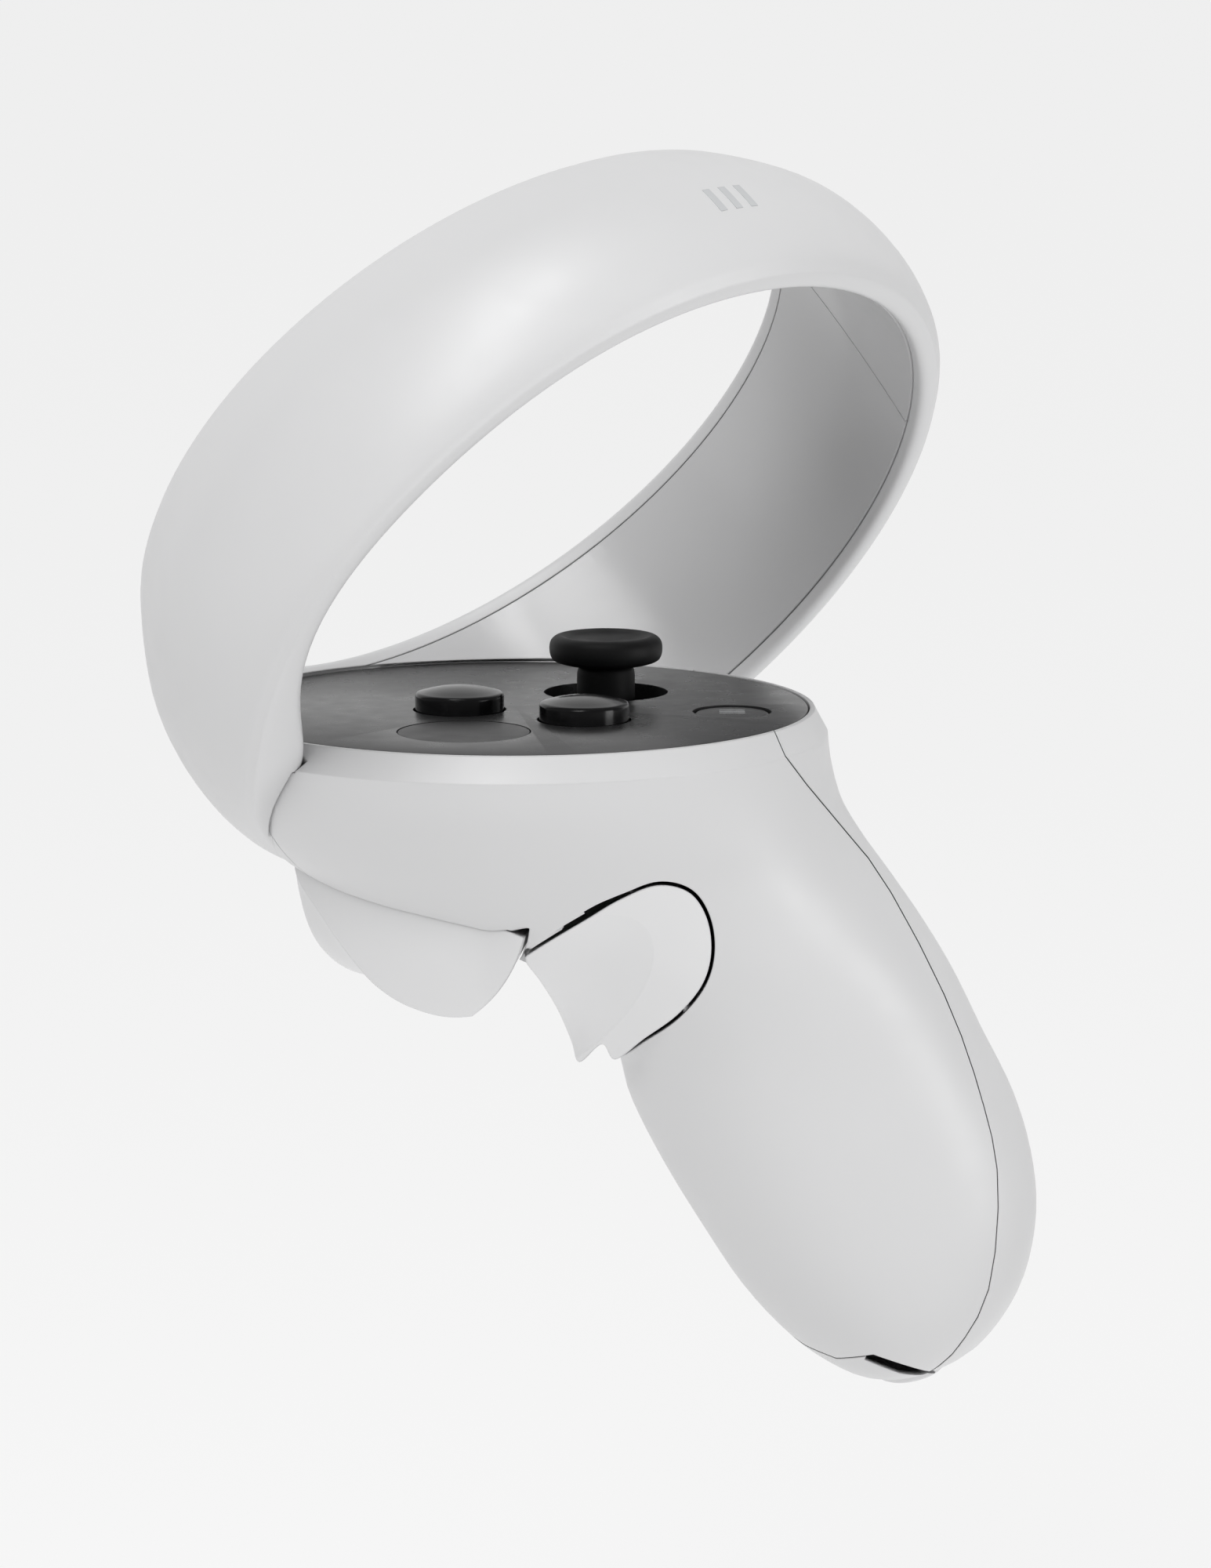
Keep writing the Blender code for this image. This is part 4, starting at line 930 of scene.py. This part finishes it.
def make_trigger(shells):
    """Trigger lobe, and the room it swings in cut from the shells."""
    px, pz = TRIGGER_PIN
    pin = (px, 0, pz)
    side, plan = trigger_forms("index_trigger", 0.0)
    reach = trigger_reach("trigger_reach", 0.0)
    surfaces = [remember(side), remember(plan), remember(reach)]
    trigger = clip(side, plan, reach)
    for way in (-1, 1):
        low, high = sorted((way * 3.6, way * 8.6))
        cut(trigger, box("trigger_pocket", (px - 4.2, low, pz - 3.2), (px + 4.6, high, -5)))
    join(trigger, rod("trigger_lug", pin, (0, 1, 0), 2.4, -3.4, 3.4))
    cut(trigger, rod("trigger_bore", pin, (0, 1, 0), 1.06, -9, 9))
    keep_largest(trigger)
    polish(trigger, *surfaces)
    clear_side, clear_plan = trigger_forms("trigger_clear", 0.3)
    clear = clip(clear_side, clear_plan, trigger_reach("reach_clear", 0.3))
    angles = [(TRIGGER_SWING + OVER_SWING) * k / 4 for k in range(5)]
    for shell in shells:
        cut(shell, *swept("sweep", clear, pin, (0, -1, 0), angles))
    bpy.data.objects.remove(clear)
    return trigger


GRIP_OUTLINE = (
    (1.3, -24.6), (2.3, -23.5), (7.4, -20.3), (10.4, -18.5), (13.8, -17.2), (16.8, -17.9),
    (18.5, -20.3), (19.0, -23.6), (18.2, -26.8), (15.9, -29.8), (12.7, -32.3), (9.9, -34.5),
    (8.6, -33.0), (6.4, -35.0), (5.6, -33.0), (4.2, -29.6), (2.6, -26.7),
)


# Finger face of the grip in the side view: centre, half length and width, slant in degrees, and depth
FACE_CENTRE = (2.2, -29.5)
FACE_SIZE = (13.4, 6.4)
FACE_SLANT = 37.0
FACE_DEPTH = 1.8


def face_share(point):
    """Squared distance from the middle of the finger face, 1 on its crease, in the side view."""
    lean, slant = math.radians(VIEW_LEAN), math.radians(FACE_SLANT)
    across = point.x - FACE_CENTRE[0]
    up = point.z * math.cos(lean) + point.y * math.sin(lean) - FACE_CENTRE[1]
    along = (across * math.cos(slant) + up * math.sin(slant)) / FACE_SIZE[0]
    beside = (up * math.cos(slant) - across * math.sin(slant)) / FACE_SIZE[1]
    return along * along + beside * beside


def grip_form(name, grow, dent=0.0):
    """The handle's surface pushed out in front; a dent hollows it for the fingertip and leaves a crease."""
    rings = []
    for knot in curve_through(BODY_KNOTS[3:12], 97):
        ring = body_section(knot, grow, FORM_STEPS)
        centre = sum(ring, Vector()) / FORM_STEPS
        front = Vector((knot[0] - knot[2], 0, knot[1] - knot[3])).normalized()
        for i, p in enumerate(ring):
            ahead = max(0.0, -math.cos(2 * math.pi * i / FORM_STEPS) - 0.35) / 0.65
            p = p + front * GRIP_PUSH * ahead**1.2
            inward = (centre - p).normalized()
            ring[i] = p + inward * dent * (1 - min(face_share(p), 2.2))
        rings.append(ring)
    return loft(name, rings)


def grip_solid(name, grow, dent=0.0):
    """The grip button's block, and the surfaces it is carved from."""
    outline = curve_through(GRIP_OUTLINE, 128, closed=True)
    tongue = side_prism(name, outline, (11.0, -26.5), grow, -30.0, 7.0 + grow)
    forms = [grip_form("grip_form", grow - 0.05)]
    if dent:
        forms.append(grip_form("grip_face", grow - 0.05, dent))
    surfaces = [remember(item) for item in (tongue, *forms)]
    clip(tongue, *forms)
    cut(tongue, body_solid("grip_core", -GRIP_DEPTH - grow, 40, cap=0.5, steps=60))
    return tongue, surfaces


def make_grip(shells):
    """Grip button with its hollowed finger face, and the room it swings in."""
    grip, surfaces = grip_solid("grip_key", 0.0, FACE_DEPTH)
    keep_largest(grip)
    polish(grip, *surfaces)
    clear = grip_solid("grip_clear", 0.38)[0]
    axis = Vector(GRIP_AXIS).normalized()
    angles = [(GRIP_SWING + OVER_SWING) * k / 2 for k in range(3)]
    for shell in shells:
        cut(shell, *swept("sweep", clear, GRIP_PIVOT, axis, angles))
    bpy.data.objects.remove(clear)
    return grip


def lanyard_slot(name):
    """Cutter for the narrow slot under the inner shell's edge at the tip, where a wrist loop is tied."""
    return side_prism(name, SLOT_OUTLINE, SLOT_MIDDLE, 0.0, *SLOT_DEPTH)


# ---------------------------------------------------------------- control plate and its keys


def make_plate(dark, pad):
    """Round plate with its openings, and the thumb rest."""
    profile = [(0, -PLATE_THICK), (PLATE_R, -PLATE_THICK)]
    profile += [(PLATE_R, -0.25), (PLATE_R - 0.08, -0.08), (PLATE_R - 0.25, 0), (0, 0)]
    plate = revolve("control_plate", profile, frame_at((0, 0, 0), (0, 0, 1)), 192)
    holes = [
        rod("hole_a", (*BUTTON_A, 0), (0, 0, 1), BUTTON_R + 0.22, -5, 5, 96),
        rod("hole_b", (*BUTTON_B, 0), (0, 0, 1), BUTTON_R + 0.22, -5, 5, 96),
        rod("hole_system", (*SYSTEM_BUTTON, 0), (0, 0, 1), SYSTEM_R + 0.16, -5, 5, 96),
        rod("hole_stick", (*STICK, 0), (0, 0, 1), STICK_HOLE_R, -5, 5, 96),
        rod("rest_seat", (*THUMB_REST, 0), (0, 0, 1), THUMB_REST_R, -0.8, 5, 96),
    ]
    cut(plate, *holes)
    finish(plate, dark, "body", "plate_plastic", "faceplate")
    radius = THUMB_REST_R - 0.08
    profile = rounded([(0, -0.6), (radius, -0.6), (radius, -0.03), (0, -0.03)], 0.12)
    rest = revolve("thumb_pad", profile, frame_at((*THUMB_REST, 0), (0, 0, 1)), 128)
    finish(rest, pad, "body", "thumb_rest_plastic", "thumb_rest")


def make_button(name, place, top, radius, dome, look, body, slot, node):
    """A push button with a domed top, rounded rim and retaining flange."""
    rim = 0.42
    wall = [(0, -3.3), (radius + 0.9, -3.3), (radius + 0.9, -2.7), (radius, -2.7), (radius, top - rim)]
    turns = (0.3, 0.6, 0.9, 1.2, 1.45)
    arc = [(radius - rim * (1 - math.cos(a)), top - rim * (1 - math.sin(a))) for a in turns]
    crown = [((radius - rim) * s, top + dome * (1 - s * s)) for s in (0.98, 0.85, 0.7, 0.55, 0.4, 0.25, 0.12)]
    profile = wall + arc + crown + [(0, top + dome)]
    made = revolve(name, profile, frame_at((*place, 0), (0, 0, 1)), 96, 24)
    return finish(made, look, body, slot, node)


def bar_faces(first, steps):
    """Faces of one thin bar: two layers of point pairs along its length."""
    half, last = 2 * (steps + 1), 2 * steps
    faces = []
    for i in range(steps):
        a, b, c, d = (first + 2 * i + k for k in (0, 1, 3, 2))
        faces += [(a, b, c, d), (a + half, d + half, c + half, b + half)]
        faces += [(a, d, d + half, a + half), (b, b + half, c + half, c)]
    far = first + last
    faces += [(first, first + half, first + half + 1, first + 1), (far, far + 1, far + half + 1, far + half)]
    return faces


def make_bars(name, place, top, dome, radius, look, body, slot):
    """Three short plain bars printed on a button's top, as one thin raised piece."""
    points, faces = [], []
    for row in (-1, 0, 1):
        first = len(points)
        for lift in (0.0, 0.05):
            for i in range(13):
                for y in (-0.13, 0.13):
                    px, py = -1.25 + 2.5 * i / 12, row * 0.85 + y
                    level = top + dome * (1 - (px * px + py * py) / radius**2)
                    points.append((place[0] + px, place[1] + py, level - 0.02 + lift))
        faces += bar_faces(first, 12)
    return finish(add(name, points, faces), look, body, slot)


def skirt_profile(pivot, radius, thick):
    """Outline of the dust skirt, a zone of a hollow ball about the stick's pivot."""
    polars = [math.radians(23.5 + 4.9 * k) for k in range(6)]
    outside = [(radius * math.sin(a), pivot + radius * math.cos(a)) for a in polars]
    radius -= thick
    return outside + [(radius * math.sin(a), pivot + radius * math.cos(a)) for a in reversed(polars)]


def make_stick(rubber):
    """Thumbstick cap with a dished top, its stem and the dust skirt."""
    x, y = STICK
    base = frame_at((x, y, 0), (0, 0, 1))
    cap = [(0, 4.0), (2.2, 4.0), (2.2, 2.9), (4.6, 3.0), (5.3, 3.3), (5.6, 3.9), (STICK_CAP_R, 4.6)]
    cap += [(5.5, 5.2), (5.1, 5.6), (4.6, 5.75), (4.1, 5.6), (3.0, 5.25), (0, 5.05)]
    outer = curve_through(cap[3:], 44)
    cap = rounded(cap[:3], 0.01, 1) + outer[:-1] + [(0, 5.05)]
    made = revolve("stick_cap", cap, base, 128, 40)
    finish(made, rubber, "thumbstick", "black_rubber", "thumbstick_cap")
    pivot = STICK_PIVOT_Z
    stem = [(0, pivot - 2.0), (1.4, pivot - 2.0), (1.4, -3.0), (STICK_STEM_R, -1.6), (STICK_STEM_R, 2.0)]
    stem += [(STICK_STEM_R - 0.2, 2.6), (1.9, 2.6), (1.9, 3.7), (0, 3.7)]
    made = revolve("stick_stem", rounded(stem, 0.3), base, 96)
    finish(made, rubber, "thumbstick", "black_rubber", "thumbstick_stem")
    made = revolve("stick_skirt", rounded(skirt_profile(pivot, 8.2, 0.7), 0.2), base, 96)
    finish(made, rubber, "thumbstick", "black_rubber", "thumbstick_skirt")


def make_cell(sleeve, metal):
    """AA cell: film sleeve with turned-in ends, and its steel can and button end."""
    place = handle_frame()
    low, high = CELL_LOW, CELL_LOW + CELL_LENGTH
    profile = [(0, low + 0.3), (CELL_R - 1.4, low + 0.3), (CELL_R - 1.2, low), (CELL_R, low)]
    profile += [(CELL_R, high - 1.5), (CELL_R - 1.2, high - 1.5), (CELL_R - 1.4, high - 1.9), (0, high - 1.9)]
    film = revolve("cell_film", rounded(profile, 0.4), place, 96)
    finish(film, sleeve, "body", "cell_sleeve", "aa_cell")
    profile = [(0, high - 1.95), (CELL_R - 1.5, high - 1.95), (CELL_R - 1.5, high - 1.6), (2.75, high - 1.6)]
    profile += [(2.6, high), (0, high)]
    end = revolve("cell_button_end", rounded(profile, 0.25), place, 96)
    finish(end, metal, "body", "steel")


def make_ring_mark(look):
    """Three small plain bars on the ring's crown, bent to its surface."""
    points, faces = [], []
    for bar in range(3):
        middle = math.radians(172.0 + 2.6 * bar)
        first = len(points)
        for lift in (0.0, 0.05):
            for i in range(9):
                height = 7.4 + 3.2 * i / 8
                for side in (-1, 1):
                    angle = middle + side * math.radians(0.55)
                    points.append(ring_point(crown_radius(height) - 0.02 + lift, height, angle))
        faces += bar_faces(first, 8)
    return finish(add("ring_mark", points, faces), look, "body", "ring_liner_plastic")


# ---------------------------------------------------------------- camera, light and floor


def make_camera():
    """Camera a little above the control plate, on the inner side of the hand."""
    lean = math.radians(VIEW_LEAN)
    forward = Vector((0, math.cos(lean), -math.sin(lean)))
    data = bpy.data.cameras.new("camera")
    data.lens = 108.0
    data.sensor_width = 36.0
    data.clip_start = 0.01
    camera = bpy.data.objects.new("camera", data)
    bpy.context.scene.collection.objects.link(camera)
    camera.location = (Vector((8.96, -1.35, -7.58)) - forward * 462.0) * MM
    camera.rotation_euler = (math.pi / 2 - lean, 0, 0)
    bpy.context.scene.camera = camera


def make_light(name, place, size, power):
    """A square soft box that faces the origin."""
    data = bpy.data.lights.new(name, "AREA")
    data.shape = "SQUARE"
    data.size = size
    data.energy = power
    light = bpy.data.objects.new(name, data)
    bpy.context.scene.collection.objects.link(light)
    light.location = place
    light.rotation_euler = (-Vector(place)).to_track_quat("-Z", "Y").to_euler()


def make_studio():
    """Pale floor that turns up into a backdrop, an even sky and three soft boxes."""
    low = cad_bounds[0].z - 0.075
    rows = [(-3.0, low), (1.0, low)]
    turns = [k * math.pi / 32 for k in range(1, 17)]
    rows += [(1.0 + 1.2 * math.sin(a), low + 1.2 * (1 - math.cos(a))) for a in turns]
    rows.append((2.2, 4.0))
    points = [(x / MM, y / MM, z / MM) for y, z in rows for x in (-4.0, 4.0)]
    faces = [(2 * k, 2 * k + 1, 2 * k + 3, 2 * k + 2) for k in range(len(rows) - 1)]
    floor = add("studio_floor", points, faces)
    floor.hide_render = False
    floor.data.materials.append(floor_paint())
    world = bpy.data.worlds.new("studio")
    world.use_nodes = True
    sky = world.node_tree.nodes["Background"]
    sky.inputs["Color"].default_value = (1.0, 1.0, 1.0, 1.0)
    sky.inputs["Strength"].default_value = SKY
    bpy.context.scene.world = world
    bpy.context.scene.view_settings.view_transform = "Standard"
    for light in LIGHTS:
        make_light(*light)


SKY = 0.26
FLOOR_GLOW = 0.765
LIGHTS = (
    ("key", (-0.25, -0.75, 0.65), 0.45, 3.4),
    ("top", (-0.10, -0.38, 0.85), 0.35, 3.1),
    ("side", (0.85, -0.35, 0.02), 0.35, 1.8),
)


# ---------------------------------------------------------------- putting it together


def finish_inner(looks):
    """Gives each CAD node that stays its finished material."""
    slots = {row["node"]: row["material_slot"] for row in frame["record"]["subparts"]}
    for name, node in frame["nodes"].items():
        look = looks[slots[name]]
        if node.data.materials:
            for place in node.material_slots:
                place.material = look
        else:
            node.data.materials.append(look)


def main():
    make_camera()
    looks = {
        "white_plastic": white_plastic(),
        "ring_liner_plastic": liner_plastic(),
        "key_plastic": key_plastic(),
        "plate_plastic": plate_plastic(),
        "thumb_rest_plastic": rest_plastic(),
        "black_plastic": black_plastic(),
        "black_rubber": black_rubber(),
        "grey_plastic": grey_plastic(),
        "steel": steel(),
        "circuit_board": circuit_board(),
        "dome_rubber": dome_rubber(),
        "cell_sleeve": cell_sleeve(),
    }
    finish_inner(looks)
    white, key = looks["white_plastic"], looks["key_plastic"]
    wall, outer = shell_wall()
    ring, band_surface = make_ring()
    medial, lateral, cover = make_shells(wall)
    trigger = make_trigger((medial, lateral, ring))
    grip = make_grip((medial, lateral))
    cut(lateral, lanyard_slot("slot"))
    for shell in (medial, lateral, cover):
        keep_largest(shell)
        polish(shell, outer)
    polish(ring, band_surface, outer)
    finish(ring, white, "body", "white_plastic", "ring_outer_shell")
    finish(medial, white, "body", "white_plastic", "medial_shell")
    finish(lateral, white, "body", "white_plastic", "lateral_shell")
    finish(cover, white, "cover", "white_plastic", "battery_cover")
    finish(trigger, key, "trigger_lever", "key_plastic", "trigger")
    finish(grip, key, "grip_lever", "key_plastic", "grip_button")
    for piece, node in zip(make_liner(), ("ring_liner", "ring_liner_end")):
        finish(piece, looks["ring_liner_plastic"], "body", "ring_liner_plastic", node)
    make_plate(looks["plate_plastic"], looks["thumb_rest_plastic"])
    black, dark = looks["black_plastic"], looks["plate_plastic"]
    form = (BUTTON_TOP, BUTTON_R, BUTTON_DOME)
    make_button("key_top_a", BUTTON_A, *form, black, "key_a", "black_plastic", "button_a")
    make_button("key_top_b", BUTTON_B, *form, black, "key_b", "black_plastic", "button_b")
    form = (SYSTEM_TOP, SYSTEM_R, SYSTEM_DOME)
    make_button("key_top_system", SYSTEM_BUTTON, *form, dark, "key_system", "plate_plastic", "system_button")
    paint = mark_paint()
    crown = (SYSTEM_TOP, SYSTEM_DOME, SYSTEM_R - 0.42)
    make_bars("system_bars", SYSTEM_BUTTON, *crown, paint, "key_system", "ring_liner_plastic")
    make_ring_mark(paint)
    make_stick(looks["black_rubber"])
    make_cell(looks["cell_sleeve"], looks["steel"])
    for item in list(bpy.data.objects):
        if item.type == "MESH" and item.hide_render and "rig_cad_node" not in item:
            bpy.data.objects.remove(item)
    make_studio()


main()
